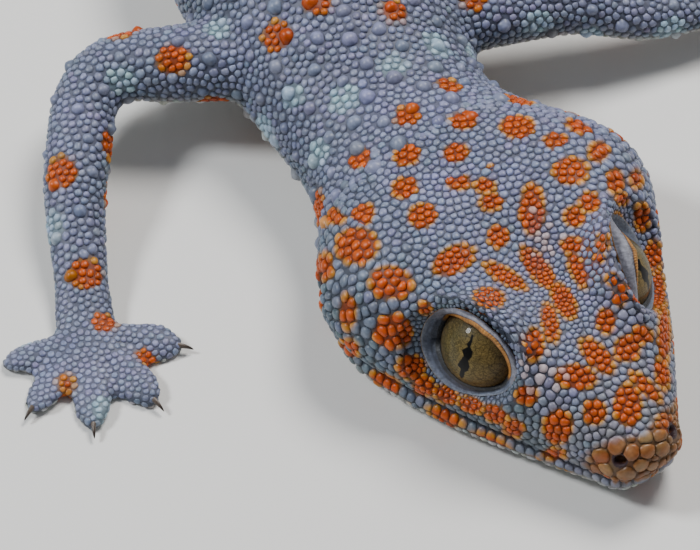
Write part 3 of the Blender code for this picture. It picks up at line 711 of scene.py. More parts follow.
def build_skin():
    """One smooth closed skin in place of all the flesh nodes."""
    flesh = show(bpy.data.objects.new("flesh", grown_flesh()))
    remesh = flesh.modifiers.new("one_surface", "REMESH")
    remesh.mode = "VOXEL"
    remesh.voxel_size = SKIN_VOXEL * MM
    smooth = flesh.modifiers.new("smooth", "SMOOTH")
    smooth.factor = 0.5
    smooth.iterations = SKIN_SMOOTHING
    graph = bpy.context.evaluated_depsgraph_get()
    mesh = bpy.data.meshes.new_from_object(flesh.evaluated_get(graph))
    bpy.data.objects.remove(flesh)
    mesh.name = "skin"
    keep_largest(mesh)
    points = points_of(mesh)
    points -= normals_of(mesh) * coat_depth(points)[:, None]
    points[:, 2] = np.maximum(points[:, 2], SKIN_LOWEST)
    set_points(mesh, points)
    mesh.update()
    mesh.shade_smooth()
    shape_orbits(mesh)
    sink_mouth(mesh)
    sink_nostrils(mesh)
    return show(bpy.data.objects.new("skin", mesh))


def keep_largest(mesh):
    """Deletes every part of a mesh that isn't joined to its largest part."""
    bm = bmesh.new()
    bm.from_mesh(mesh)
    unseen, largest = set(bm.verts), set()
    while unseen:
        part, edge = set(), [unseen.pop()]
        while edge:
            v = edge.pop()
            part.add(v)
            fresh = {e.other_vert(v) for e in v.link_edges} & unseen
            unseen -= fresh
            edge.extend(fresh)
        if len(part) > len(largest):
            largest = part
    bmesh.ops.delete(bm, geom=[v for v in bm.verts if v not in largest], context="VERTS")
    bm.to_mesh(mesh)
    bm.free()


def shape_orbits(mesh):
    """Fits the skin to the ring round each eye's lids, and takes it down inside the ring, under the lids."""
    points, normals = points_of(mesh), normals_of(mesh)
    for side in (-1, 1):
        middle, along, across, looks = eye_frame(side)
        rel = points - middle
        reach, angle = np.hypot(rel @ along, rel @ across), np.arctan2(rel @ across, rel @ along)
        ring, inner, level = ring_reach(angle), opening_reach(angle), ring_out(angle)
        beyond = reach - ring
        # Skin that is too low at the ring comes up to it
        wanted = level - RAISED_UNDER + np.where(beyond > 0, *RAISED_SLOPES) * beyond
        out = rel @ looks
        low = (out > ORBIT_FROM) & (np.abs(beyond) < RAISED_ROOM) & (out < wanted)
        low &= normals @ looks > ORBIT_FACING
        points[low] += ((wanted - out)[:, None] * looks)[low]
        # Skin that would stand over the lids goes under them
        share = np.clip((reach - inner) / (ring - inner), 0, 1)
        lid = np.sqrt(EYE_RADIUS**2 - inner**2) * (1 - share) + level * share
        inside = lid - LOWERED_UNDER - LOWERED_UNDER * (1 - share)
        allowed = np.where(beyond < 0, inside, level + LOWERED_OVER + LOWERED_SLOPE * beyond)
        out = (points - middle) @ looks
        high = (beyond < LOWERED_ROOM) & (out > allowed) & (out > ORBIT_FROM)
        points[high] += ((allowed - out)[:, None] * looks)[high]
    set_points(mesh, points)
    mesh.update()


def mouth_tree():
    """Close points along the mouth line on both sides, in mm, ready for finding the nearest."""
    line = np.array(MOUTH_LINE)
    back = np.arange(line[0, 0], line[-1, 0], MOUTH_STEP)
    out, up = (spline(back, line[:, 0], line[:, k]) for k in (1, 2))
    return tree_of(np.concatenate([on_head((back, out, up), side) for side in (-1, 1)]))


def clear_of_mouth(points, room):
    """Which points are further from the mouth line than the given room, in mm."""
    clear = np.ones(len(points), bool)
    tree = mouth_tree()
    for i in np.flatnonzero(head_places(points)[:, 0] < MOUTH_LINE[-1][0]):
        clear[i] = tree.find(points[i])[2] > room
    return clear


def cut_finer(bm, near, cuts):
    """Cuts edges of a mesh into shorter ones."""
    bmesh.ops.subdivide_edges(bm, edges=near, cuts=cuts, use_grid_fill=True)
    bm.normal_update()


def keep_edit(bm, mesh):
    """Puts an edited mesh back, with no face of more than four corners."""
    bmesh.ops.triangulate(bm, faces=[f for f in bm.faces if len(f.verts) > 4])
    bm.to_mesh(mesh)
    bm.free()
    mesh.shade_smooth()


def sink_mouth(mesh):
    """Cuts the skin finer along the mouth line and presses a groove in."""
    tree = mouth_tree()
    bm = bmesh.new()
    bm.from_mesh(mesh)
    cut_finer(bm, [e for e in bm.edges if tree.find(e.verts[0].co / MM)[2] < MOUTH_CUT], 1)
    for v in bm.verts:
        if v.co.z > MOUTH_TOP * MM:
            continue
        away = tree.find(v.co / MM)[2] / MOUTH_WIDTH
        if away < 1:
            v.co -= v.normal * MOUTH_GROOVE * MM * (1 - away * away) ** 2
    keep_edit(bm, mesh)


def sink_nostrils(mesh):
    """Cuts the skin finer round each nostril and presses the opening in."""
    bm = bmesh.new()
    bm.from_mesh(mesh)
    for side in (-1, 1):
        centre = Vector(on_head(NOSTRIL_AT, side) * MM)
        cut_finer(bm, [e for e in bm.edges if (e.verts[0].co - centre).length < NOSTRIL_CUT * MM], 3)
        tree = tree_of([v.co for v in bm.verts])
        bm.verts.ensure_lookup_table()
        inwards = -bm.verts[tree.find(centre)[1]].normal.copy()
        way = Vector(np.array(NOSTRIL_WAY) * (1, side, 1) @ HEAD_AXES)
        for _, i, _ in tree.find_range(centre, NOSTRIL_PRESS * MM):
            v = bm.verts[i]
            rel = (v.co - centre) / MM
            lengthwise = rel.dot(way)
            across = (rel - way * lengthwise).length
            away = math.hypot(lengthwise / NOSTRIL_RADII[0], across / NOSTRIL_RADII[1])
            v.co += inwards * NOSTRIL_DEPTH * MM * max(0.0, 1 - away**4)
    keep_edit(bm, mesh)


# Where the scales are


def regions_of(points):
    """The index of the flesh node nearest to each point."""
    meshes = [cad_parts[name].data for name in FLESH]
    owners = np.repeat(np.arange(len(FLESH)), [len(mesh.vertices) for mesh in meshes])
    tree = tree_of([v.co / MM for mesh in meshes for v in mesh.vertices])
    return owners[[tree.find(p)[1] for p in points.tolist()]]


def in_nodes(regions, names):
    """Which of the regions are the named nodes."""
    return np.isin(regions, [FLESH.index(n) for n in names])


class Surface:
    """The skin as triangles, with what is needed to find places on it."""

    def __init__(self, mesh):
        mesh.calc_loop_triangles()
        self.points = points_of(mesh)
        self.normals = normals_of(mesh)
        corners = np.empty(len(mesh.loop_triangles) * 3, np.int32)
        mesh.loop_triangles.foreach_get("vertices", corners)
        self.triangles = corners.reshape(-1, 3)
        a, b, c = (self.points[self.triangles[:, k]] for k in range(3))
        self.areas = np.linalg.norm(np.cross(b - a, c - a), axis=1) / 2
        self.middles = (a + b + c) / 3
        self.tree = BVHTree.FromPolygons(self.points.tolist(), self.triangles.tolist())
        self.regions = regions_of(self.middles)

    def settle(self, points):
        """The nearest places on the skin, with smooth normals there, and their faces."""
        places = np.empty_like(points)
        faces = np.empty(len(points), int)
        for i, p in enumerate(points.tolist()):
            places[i], _, faces[i], _ = self.tree.find_nearest(p)
        corners = self.triangles[faces]
        weights = 1 / (np.linalg.norm(self.points[corners] - places[:, None], axis=2) + 0.05)
        normals = unit((self.normals[corners] * weights[:, :, None]).sum(1))
        return places, normals, faces


def close_pairs(points, reach):
    """Both ends of every pair of points closer than reach, each pair once."""
    cells = np.floor((points - points.min(0)) / reach).astype(np.int64) + 1
    across, deep = cells[:, 1].max() + 2, cells[:, 2].max() + 2
    key = (cells[:, 0] * across + cells[:, 1]) * deep + cells[:, 2]
    order = np.argsort(key, kind="stable")
    ranked = key[order]
    steps = [(x, y, z) for x in (-1, 0, 1) for y in (-1, 0, 1) for z in (-1, 0, 1)]
    firsts, seconds = [], []
    for x, y, z in steps[len(steps) // 2 :]:
        wanted = key + (x * across + y) * deep + z
        low = np.searchsorted(ranked, wanted, "left")
        count = np.searchsorted(ranked, wanted, "right") - low
        i = np.repeat(np.arange(len(points)), count)
        within = np.arange(count.sum()) - np.repeat(np.cumsum(count) - count, count)
        j = order[np.repeat(low, count) + within]
        if (x, y, z) == (0, 0, 0):
            i, j = i[i < j], j[i < j]
        near = ((points[i] - points[j]) ** 2).sum(1) < reach * reach
        firsts.append(i[near])
        seconds.append(j[near])
    return np.concatenate(firsts), np.concatenate(seconds)


def thin_out(points, radii, rank):
    """Keeps points that stay clear of each other, the lowest rank first."""
    i, j = close_pairs(points, 2 * radii.max())
    clash = np.linalg.norm(points[i] - points[j], axis=1) < CROWDED * (radii[i] + radii[j])
    i, j = i[clash], j[clash]
    state = np.zeros(len(points), int)  # 0 open, 1 kept, -1 dropped
    while (state == 0).any():
        lowest = np.full(len(points), np.inf)
        live = (state[i] == 0) & (state[j] == 0)
        np.minimum.at(lowest, i[live], rank[j[live]])
        np.minimum.at(lowest, j[live], rank[i[live]])
        chosen = (state == 0) & (rank < lowest)
        state[chosen] = 1
        state[j[chosen[i] & (state[j] == 0)]] = -1
        state[i[chosen[j] & (state[i] == 0)]] = -1
    return state == 1


def spread_out(surface, points, radii, fixed):
    """Pushes crowded points apart over the skin, apart from the fixed ones."""
    for _ in range(RELAX_STEPS):
        i, j = close_pairs(points, 2.1 * radii.max())
        gap = points[j] - points[i]
        apart = np.linalg.norm(gap, axis=1)
        wanted = RELAX_ROOM * (radii[i] + radii[j])
        crowded = apart < wanted
        i, j, gap, apart, wanted = (v[crowded] for v in (i, j, gap, apart, wanted))
        push = gap / np.maximum(apart, 1e-6)[:, None] * ((wanted - apart) * RELAX_PUSH)[:, None]
        moved = np.zeros_like(points)
        for axis in range(3):
            moved[:, axis] += np.bincount(j, push[:, axis], len(points))
            moved[:, axis] -= np.bincount(i, push[:, axis], len(points))
        moved[fixed] = 0
        points, normals, _ = surface.settle(points + moved)
    return points, normals


def sample(surface, wanted_radius, mask, chance):
    """Random places on part of the skin, as many as the wanted radius asks for, and their radii."""
    chosen = np.flatnonzero(mask)
    radii = wanted_radius(surface.middles[chosen], surface.regions[chosen])
    count = chance.poisson(surface.areas[chosen] / (math.pi * radii**2) * CANDIDATES)
    rows = np.repeat(chosen, count)
    a, b = chance.random((2, len(rows)))
    folded = a + b > 1
    a[folded], b[folded] = 1 - a[folded], 1 - b[folded]
    start, one, two = surface.points[surface.triangles[rows]].transpose(1, 0, 2)
    points = start + a[:, None] * (one - start) + b[:, None] * (two - start)
    return points, np.repeat(radii, count) * chance.uniform(1 - SIZE_SPREAD, 1 + SIZE_SPREAD, len(rows))


def eye_frame(side):
    """An eye's middle in mm, and its along, across and looking directions."""
    back, left, up = HEAD_AXES
    looks = unit(-back * EYE_LOOKS[0] + left * (EYE_LOOKS[1] * side) + up * EYE_LOOKS[2])
    along = unit(-back - looks * (looks @ -back))
    return on_head(EYE_CENTRE, side), along, np.cross(looks, along) * -side, looks


def on_ring(pixel):
    """A pixel of the near eye as (along, across) on the plane of its ring, in mm."""
    middle, along, across, looks = eye_frame(-1)
    start, way = ray_through(pixel)
    rel = start - middle
    square = looks - RING_LEAN * across
    hit = rel + way * ((RING_OUT - rel @ square) / (way @ square))
    return hit @ along, hit @ across


def on_eyeball(pixel):
    """A pixel of the near eye as (along, across) on its eyeball, in mm."""
    middle, along, across, _ = eye_frame(-1)
    start, way = ray_through(pixel)
    rel = start - middle
    b = rel @ way
    hit = rel - way * (b + math.sqrt(max(b * b - (rel @ rel - EYE_RADIUS**2), 0.0)))
    return hit @ along, hit @ across


def reach_table(places):
    """Angles and smoothed reaches of an outline given as (along, across)."""
    places = np.array(places)
    turn = np.arctan2(places[:, 1], places[:, 0])
    order = np.argsort(turn)
    turn, reach = turn[order], np.hypot(places[:, 0], places[:, 1])[order]
    fine = np.linspace(-math.pi, math.pi, 361)
    wide = np.concatenate([turn - 2 * math.pi, turn, turn + 2 * math.pi])
    rough = np.interp(fine, wide, np.tile(reach, 3))
    kernel = np.hanning(21) / np.hanning(21).sum()
    return fine, np.convolve(np.concatenate([rough[-31:-1], rough, rough[1:31]]), kernel, "same")[30:-30]


RING_TABLE = reach_table([on_ring(pixel) for pixel in EYE_RING])
OPENING_TABLE = reach_table([on_eyeball(pixel) for pixel in EYE_OPENING])


def ring_reach(angle):
    """How far the ring reaches from the eye's axis at each angle, in mm."""
    return np.interp(angle, *RING_TABLE)


def ring_out(angle):
    """How far along the eye's look the ring lies at each angle, in mm."""
    return RING_OUT + RING_LEAN * ring_reach(angle) * np.sin(angle)


def opening_reach(angle):
    """How far the lids' opening reaches from the eye's axis at each angle, in mm."""
    return np.minimum(np.interp(angle, *OPENING_TABLE), EYE_RADIUS * OPENING_LIMIT)


def from_orbit(points):
    """How far points are outside the ring round the nearer eye, in mm; inside it is negative."""
    nearest = np.full(len(points), 1e9)
    for side in (-1, 1):
        middle, along, across, looks = eye_frame(side)
        rel = points - middle
        a, c = rel @ along, rel @ across
        away = np.hypot(a, c) - ring_reach(np.arctan2(c, a))
        nearest = np.minimum(nearest, np.where(rel @ looks > 0.0, away, 30.0))
    return nearest


def head_radius(points, _):
    """The radius that scales have on the head, in mm."""
    back, side, up = head_places(points).T
    side = np.abs(side)
    cheek = ramp(side, *CHEEK_OUT)
    radius = np.interp(back, *HEAD_RADII) + CHEEK_CHANGE * cheek * ramp(back, *CHEEK_BACK)
    for change, (at_back, at_side), (long, wide), floor in HEAD_PARTS:
        near = np.exp(-(((back - at_back) / long) ** 2) - ((side - at_side) / wide) ** 2)
        radius = radius + change * near * (up > floor)
    radius = HEAD_SIZE * radius
    away = from_orbit(points)
    least, growth, room = ORBIT_SCALES
    by_orbit = np.minimum(radius, least + growth * np.clip(away, 0, room))
    radius = np.where(away < room, by_orbit, radius)
    return np.where(up < THROAT_TOP, THROAT_RADIUS, radius)


def body_radius(points, regions):
    """The radius that the small scales have behind the head."""
    station, _, up = body_places(points).T
    low = ramp(up, *UNDERSIDE)
    limb = np.where(in_nodes(regions, TOE_NODES), TOE_RADIUS, LIMB_RADIUS)
    tail = np.interp(station, *TAIL_RADII) + UNDER_TAIL * low
    radius = np.where(in_nodes(regions, TAIL_NODES), tail, limb)
    return np.where(in_nodes(regions, TORSO_NODES), TRUNK_RADIUS + UNDER_TRUNK * low, radius)


def tubercle_spacing(points, regions):
    """Half the distance between large scales, in mm."""
    radius = np.where(in_nodes(regions, TORSO_NODES), TRUNK_SPACING, LIMB_SPACING)
    on_tail = np.interp(body_places(points)[:, 0], *TAIL_TUBERCLES)
    return np.where(in_nodes(regions, TAIL_NODES), on_tail, radius)


def pits(points, room=0.0):
    """Which points are in a nostril, an ear or the ring round an eye."""
    inside = from_orbit(points) < ORBIT_MARGIN + room * 0.3
    for side in (-1, 1):
        inside |= np.linalg.norm(points - on_head(NOSTRIL_AT, side), axis=1) < NOSTRIL_RADII[0] + 0.15 + room
        ear = head_places(points) - np.array(EAR_AT) * (1, side, 1)
        inside |= ((ear / (np.array(EAR_RADII) + room)) ** 2).sum(1) < 1
    return inside


def on_snout(points):
    """How surely each point is on the brown tip of the snout, from 0 to 1."""
    back, side, up = head_places(points).T
    return ramp(back - SNOUT_SLANT * np.abs(side), *SNOUT_TIP) * (up > SNOUT_FROM)


def lip_plates(surface):
    """Places and radii of the plates along both lips, in order from the snout to the mouth's corner."""
    line = np.array(MOUTH_LINE)
    seeds, radii = [], []
    for side in (-1, 1):
        for rise, back, size in LIP_ROWS:
            while back < line[-1, 0] - LIP_END:
                out, up = (float(spline(back, line[:, 0], line[:, k])) for k in (1, 2))
                seeds.append(on_head((back, out * LIP_OUT, up + rise), side))
                radii.append(size * float(np.interp(back, *LIP_RADII)))
                back += LIP_PITCH * radii[-1] * float(np.interp(back, *LIP_SPACING))
    places, _, _ = surface.settle(np.array(seeds))
    return places, np.array(radii)


def snout_plates(surface):
    """Places and radii of the plates at the snout's tip, where the photo shows them."""
    seeds, radii = [], []
    for x, y, wide, high in SNOUT_PLATES:
        found = surface.tree.ray_cast(*ray_through((x, y)))[0]
        if found is not None:
            seeds.append(np.array(found))
            radii.append((wide + high) / 4 * PIXEL * PLATE_SIZE)
    return np.array(seeds), np.array(radii)


def head_plates(surface):
    """The snout's plates, and those of the lips that stand clear of them."""
    lips, lip_radii = lip_plates(surface)
    plates, plate_radii = snout_plates(surface)
    apart = np.linalg.norm(lips[:, None] - plates[None], axis=2)
    clear = (apart > PLATES_APART * (lip_radii[:, None] + plate_radii[None])).all(1)
    return np.concatenate([lips[clear], plates]), np.concatenate([lip_radii[clear], plate_radii])


def tubercle_places(surface, chance):
    """Places and radii of the large scales on the trunk, limbs and tail."""
    mask = ~in_nodes(surface.regions, HEAD_NODES) & (surface.middles[:, 2] > TUBERCLES_FROM)
    points, radii = sample(surface, tubercle_spacing, mask, chance)
    keep = thin_out(points, radii, chance.random(len(points)))
    points, radii = points[keep], radii[keep]
    points, _ = spread_out(surface, points, radii, np.zeros(len(points), bool))
    _, _, faces = surface.settle(points)
    trunk = in_nodes(surface.regions[faces], TORSO_NODES + TAIL_NODES)
    return points, radii * chance.uniform(*TUBERCLE_SHARES, len(radii)) * np.where(trunk, 1.0, LIMB_SHARE)


def fill_between(surface, mask, wanted_radius, fixed_points, fixed_radii, chance):
    """Small scales in all the room that the fixed ones leave, followed by the fixed ones."""
    points, radii = sample(surface, wanted_radius, mask, chance)
    free = ~pits(points, 0.1) & clear_of_mouth(points, MOUTH_ROOM)
    points, radii = points[free], radii[free]
    tree = tree_of(points)
    free = np.ones(len(points), bool)
    for p, r in zip(fixed_points.tolist(), fixed_radii.tolist()):
        for _, i, apart in tree.find_range(p, r + radii.max()):
            free[i] &= apart >= FIXED_CROWDED * (r + radii[i])
    points, radii = points[free], radii[free]
    keep = thin_out(points, radii, chance.random(len(points)))
    fixed = np.repeat((False, True), (keep.sum(), len(fixed_points)))
    points = np.concatenate([points[keep], fixed_points])
    radii = np.concatenate([radii[keep], fixed_radii])
    points, normals = spread_out(surface, points, radii, fixed)
    return points, normals, radii, fixed


# The shape of the scales


def outlines(points, normals, radii, sides):
    """Each scale's reach in evenly spaced directions, half way to its neighbours by their sizes."""
    heading = unit(np.cross(normals, SCALE_TURN))
    other = np.cross(normals, heading)
    i, j = close_pairs(points, 3.0 * radii.max())
    i, j = np.concatenate([i, j]), np.concatenate([j, i])
    gap = points[j] - points[i]
    apart = np.linalg.norm(gap, axis=1)
    same_side = (normals[i] * normals[j]).sum(1) > SAME_SIDE
    near = (apart < NEIGHBOURS * (radii[i] + radii[j])) & (apart > 1e-6) & same_side
    i, j, gap, apart = (v[near] for v in (i, j, gap, apart))
    x, y = (gap * heading[i]).sum(1), (gap * other[i]).sum(1)
    flat = np.maximum(np.hypot(x, y), 1e-6)
    x, y = x / flat, y / flat
    edge = apart * radii[i] / (radii[i] + radii[j])
    reach = np.tile((REACH_LIMIT * radii)[:, None], (1, sides))
    for k, angle in enumerate(turns(sides)):
        facing = x * math.cos(angle) + y * math.sin(angle)
        ahead = facing > 0.2
        np.minimum.at(reach[:, k], i[ahead], edge[ahead] / facing[ahead])
    # Corners are rounded off by pulling each reach towards its neighbours'
    soft = (np.roll(reach, 1, 1) + np.roll(reach, -1, 1) + 2 * reach) / 4
    return np.minimum(reach, soft) * GAP_SHARE, heading, other


def to_skin(surface, feet):
    """How far each foot of each scale has to move to stand on the skin."""
    flat = feet.reshape(-1, 3)
    moves = np.array([surface.tree.find_nearest(p)[0] for p in flat.tolist()]) - flat
    far = np.linalg.norm(moves, axis=1, keepdims=True)
    return (moves * np.minimum(1, BEND_LIMIT / np.maximum(far, 1e-9))).reshape(feet.shape)


def scale_rings(surface, points, normals, outline, heights, profile):
    """The rings of points of every scale, bent to follow the skin, and its top."""
    reach, heading, other = outline
    angles = turns(reach.shape[1])[None, :, None]
    ways = heading[:, None] * np.cos(angles) + other[:, None] * np.sin(angles)
    bend = to_skin(surface, points[:, None] + ways * reach[:, :, None])
    rings = []
    for share, rise in PROFILES[profile]:
        up = np.reshape(-SUNK if rise is None else rise * heights, (-1, 1, 1))
        out = ways * (reach * share)[:, :, None]
        rings.append(points[:, None] + out + bend * share**2 + normals[:, None] * up)
    rings, tops = np.stack(rings, 1), points + normals * heights[:, None]
    rings[..., 2] = np.maximum(rings[..., 2], LOWEST)
    tops[:, 2] = np.maximum(tops[:, 2], 0.0)
    return rings, tops


def every_point(rings, tops):
    """All points of each scale: its rings from the foot up, then its top."""
    return np.concatenate([rings.reshape(len(tops), -1, 3), tops[:, None]], 1)


def scale_piece(name, rings, tops, colours, unwrap, material):
    """One mesh of many scales, with a colour for each scale or each point, and patches on the unwrap."""
    count, levels, sides, _ = rings.shape
    base = (np.arange(count) * (levels * sides + 1))[:, None, None]
    last, k = (levels - 1) * sides, np.arange(sides)
    cap = np.stack([last + k, last + (k + 1) % sides, np.full(sides, levels * sides)], 1)
    quads, caps = tube_quads(levels, sides)[None] + base, cap[None] + base
    obj = mesh_object(name, every_point(rings, tops).reshape(-1, 3), quads.reshape(-1, 4), caps)
    # Painted shade towards each scale's foot and a painted highlight on its top
    shade = np.append(np.repeat(RING_PAINTED_SHADE, sides), TOP_PAINTED_HIGHLIGHT)
    each = colours[:, None] if colours.ndim == 2 else colours
    tint(obj, (each * shade[None, :, None]).reshape(-1, 3))
    # A scale's patch is its own outline, small, round its root's place
    spread = PATCH / 2 * np.append(np.repeat(PATCH_SHARES, sides), 0.0)
    turn = np.append(np.tile(turns(sides), levels), 0.0)
    offsets = spread[:, None] * np.stack([np.cos(turn), np.sin(turn)], 1)
    loops = np.empty(len(obj.data.loops), np.int32)
    obj.data.loops.foreach_get("vertex_index", loops)
    uv = (unwrap[:, None] + offsets[None]).reshape(-1, 2)[loops]
    obj.data.uv_layers.new(name="OFBake").data.foreach_set("uv", uv.astype(np.float32).ravel())
    wear(obj, material)


def unwrap_of(points):
    """Places on an unwrap of the piece's own shape: along the body, and round it."""
    station, side, up = body_places(points).T
    both = np.stack([station, np.arctan2(side, up - UNWRAP_HEIGHT)], 1)
    room = 1 - 2 * UNWRAP_EDGE
    return UNWRAP_EDGE + room * (both - both.min(0)) / np.maximum(np.ptp(both, axis=0), 1e-6)


def add_pieces(name, points, rings, tops, colours, material):
    """Scales as pieces of fewer triangles than the limit, cut along the body."""
    order = np.argsort(body_places(points)[:, 0], kind="stable")
    each = rings.shape[2] * (2 * (rings.shape[1] - 1) + 1)
    pieces = math.ceil(len(points) * each / PIECE_TRIANGLES)
    for number, rows in enumerate(np.array_split(order, pieces)):
        unwrap = unwrap_of(points[rows])
        scale_piece(f"{name}_{number + 1}", rings[rows], tops[rows], colours[rows], unwrap, material)


# Colours


def blend(a, b, share):
    """Colours between a and b."""
    share = np.clip(share, 0, 1)[:, None]
    return np.asarray(a) * (1 - share) + np.asarray(b) * share


def wave_noise(points, scale, seed):
    """A smooth field between about -1 and 1 from a few crossing waves."""
    chance = np.random.default_rng(seed)
    total = np.zeros(len(points))
    for _ in range(7):
        way = unit(chance.normal(size=3)) * chance.uniform(0.6, 1.5) / scale
        total += np.sin(points @ way * 2 * math.pi + chance.uniform(0, 2 * math.pi))
    return total / 4.5


def from_centre(pixels, x, y, wide, high, turn=0.0):
    """How far pixels are from an ellipse's centre, as a share of the way to its edge."""
    a = math.radians(turn)
    dx, dy = pixels[:, 0] - x, pixels[:, 1] - y
    u = dx * math.cos(a) + dy * math.sin(a)
    v = dy * math.cos(a) - dx * math.sin(a)
    return np.hypot(u / (wide / 2), v / (high / 2))


def photo_depth(points):
    """How deep each point is in a spot that the photo shows, in mm from its edge; outside is negative."""
    pixels = pixels_of(points)
    depth = np.full(len(points), -1e3)
    for spot in PHOTO_SPOTS:
        depth = np.maximum(depth, (1 - from_centre(pixels, *spot)) * min(spot[2:4]) / 2)
    return depth * PIXEL


def spot_depth(points, centres, radii):
    """How deep each point is in the nearest of round spots, in mm from its edge; outside is negative."""
    tree = tree_of(centres)
    depths = [max(radii[j] - apart for _, j, apart in tree.find_n(p, 2)) for p in points.tolist()]
    return np.array(depths)


def inside_region(pixels, region):
    """Which pixels are inside a closed outline."""
    x, y = pixels[:, 0], pixels[:, 1]
    inside = np.zeros(len(pixels), bool)
    for (ax, ay), (bx, by) in zip(region, region[1:] + region[:1]):
        crosses = (ay > y) != (by > y)
        inside ^= crosses & (x < (bx - ax) * (y - ay) / (by - ay + 1e-12) + ax)
    return inside


def base_colours(points, normals, head):
    """The blue-grey ground colour, paler where it faces up, partly as painted light, with painted shade on
    the near cheek, palest beneath.
    """
    back, side, up = head_places(points).T
    # Paler where the skin faces up: partly its own colour, partly painted light from above
    share = 0.75 * ramp(normals[:, 2], -1, 1)
    share = share + 0.16 * wave_noise(points, 13.0, 3) + 0.08 * wave_noise(points, 4.0, 5)
    # The near cheek is darkened as painted shade
    colour = blend(SLATE, LAVENDER, share - 0.3 * (head & (side < SHADED_CHEEK_FROM)))
    warm = np.clip(0.45 + 0.4 * wave_noise(points, 7.0, 6), 0, 1) * ramp(back, *WARM_BACK)
    colour = blend(colour, WARM_GREY, warm * head)
    beneath = ramp(-normals[:, 2], 0.15, 0.65) * np.where(head, ramp(up, *CHIN), 1)
    return blend(colour, BELLY, beneath)


class Markings:
    """The animal's colours at any place on its surface."""

    def __init__(self, surface):
        """Chooses the middles of the spots that the photo doesn't show, scattered by chance but evenly."""
        chance = np.random.default_rng(SEED + 1)
        head = in_nodes(surface.regions, HEAD_NODES)
        few = np.flatnonzero(chance.random(len(head)) < SPOT_TRIES)
        room = np.where(head, HEAD_SPOT_ROOM, BODY_SPOT_ROOM)[few]
        kept = few[thin_out(surface.middles[few], room, chance.random(len(few)))]
        centres, radii = surface.middles[kept], chance.uniform(*SPOT_RADII, len(kept))
        band = np.floor(body_places(centres)[:, 0] / BAND_WIDTH).astype(int)
        pale = ~head[kept] & (band % 2 == 0) & (chance.random(len(kept)) < PALE_CHANCE)
        self.warm = centres[~pale], radii[~pale]
        self.cool = centres[pale], radii[pale]

    def orange_depth(self, points, normals, head):
        """How deep each place is in an orange spot, in mm from its edge; outside is negative."""
        forward = camera_view()[-1]
        shown = head & (normals @ -forward > SHOWN_FROM) & inside_region(pixels_of(points), SHOWN_REGION)
        depth = np.empty(len(points))
        depth[shown] = photo_depth(points[shown])
        depth[~shown] = spot_depth(points[~shown], *self.warm)
        return depth

    def at(self, points, normals, head, depth=None):
        """Colours at places; the depth in orange spots can be given."""
        if depth is None:
            depth = self.orange_depth(points, normals, head)
        inside = ramp(depth, *SPOT_EDGE)
        rim = np.exp(-(((depth - RIM_DEPTH) / RIM_WIDTH) ** 2))
        colour = base_colours(points, normals, head)
        if (~head).any():
            colour = self.body_colours(points, head, colour)
        orange = blend(ORANGE, DEEP_ORANGE, 0.25 + 0.25 * wave_noise(points, 1.6, 9))
        colour = blend(colour, orange, inside)
        colour = blend(colour, RIM_YELLOW, rim * 0.95)
        if head.any():
            colour = self.head_colours(points, head, colour, inside)
        return colour

    def body_colours(self, points, head, colour):
        """Light blue spots on the body and dark bands on the tail."""
        depth = np.full(len(points), -1e3)
        depth[~head] = spot_depth(points[~head], *self.cool)
        colour = blend(colour, PALE_BLUE, ramp(depth, *PALE_EDGE) * 0.9)
        station = body_places(points)[:, 0]
        band = 0.5 + 0.5 * np.sin(station / BAND_WIDTH * math.pi)
        return blend(colour, np.array(SLATE) * 0.8, np.where(station > VENT, 0.6, 0.15) * band * ~head)

    def head_colours(self, points, head, colour, inside):
        """The brown tip of the snout and the worn patch on the forehead."""
        horn = blend(SNOUT_BROWN, SNOUT_TAN, 0.5 + 0.6 * wave_noise(points, 1.7, 17))
        colour = blend(colour, horn, head * on_snout(points) * (1 - 0.5 * inside))
        near = ramp(from_centre(pixels_of(points), *DIRTY_PATCH), *PATCH_EDGE)
        near = near * (head_places(points)[:, 2] > FOREHEAD_FROM)
        grime = near * (0.6 + 0.6 * wave_noise(points, 1.3, 14)) * head
        return blend(colour, WORN, grime * 0.85)


def uneven(colours, chance, more=1.0):
    """Colours that differ a little from scale to scale, of some scales more than of others."""
    more = np.broadcast_to(more, len(colours))
    light = np.clip(1 + chance.normal(0, LIGHT_SPREAD, len(colours)) * more, *LIGHT_LIMITS)
    hue = 1 + chance.normal(0, HUE_SPREAD, (len(colours), 3)) * more[:, None]
    change = light[:, None] * hue
    return colours * (change if colours.ndim == 2 else change[:, None])


# Materials


def feed(material, node, inputs):
    """Gives a node its inputs: a socket is linked, and anything else is the input's own value."""
    for name, value in inputs.items():
        if isinstance(value, bpy.types.NodeSocket):
            material.node_tree.links.new(value, node.inputs[name])
        else:
            node.inputs[name].default_value = value


def add_node(material, kind, inputs, output, **settings):
    """A node of a material with its inputs and settings; gives one of its outputs."""
    node = material.node_tree.nodes.new(kind)
    for name, value in settings.items():
        setattr(node, name, value)
    feed(material, node, inputs)
    return node.outputs[output]


def principled(name, roughness, specular=0.5):
    """A material with its shader."""
    material = bpy.data.materials.new(name)
    material.use_nodes = True
    shader = material.node_tree.nodes["Principled BSDF"]
    feed(material, shader, {"Roughness": roughness, "Specular IOR Level": specular})
    return material, shader


def noise_of(material, where, scale, detail, output="Fac"):
    """A noise on a material."""
    inputs = {"Vector": where, "Scale": scale, "Detail": detail}
    return add_node(material, "ShaderNodeTexNoise", inputs, output)


def mapped(material, value, low, high, start=0.0, end=1.0):
    """A material's value carried over from one range to another."""
    inputs = {"Value": value, "From Min": start, "From Max": end, "To Min": low, "To Max": high}
    return add_node(material, "ShaderNodeMapRange", inputs, "Result")


def place_in(material):
    """The place in the object, for a material's patterns."""
    return add_node(material, "ShaderNodeTexCoord", {}, "Object")


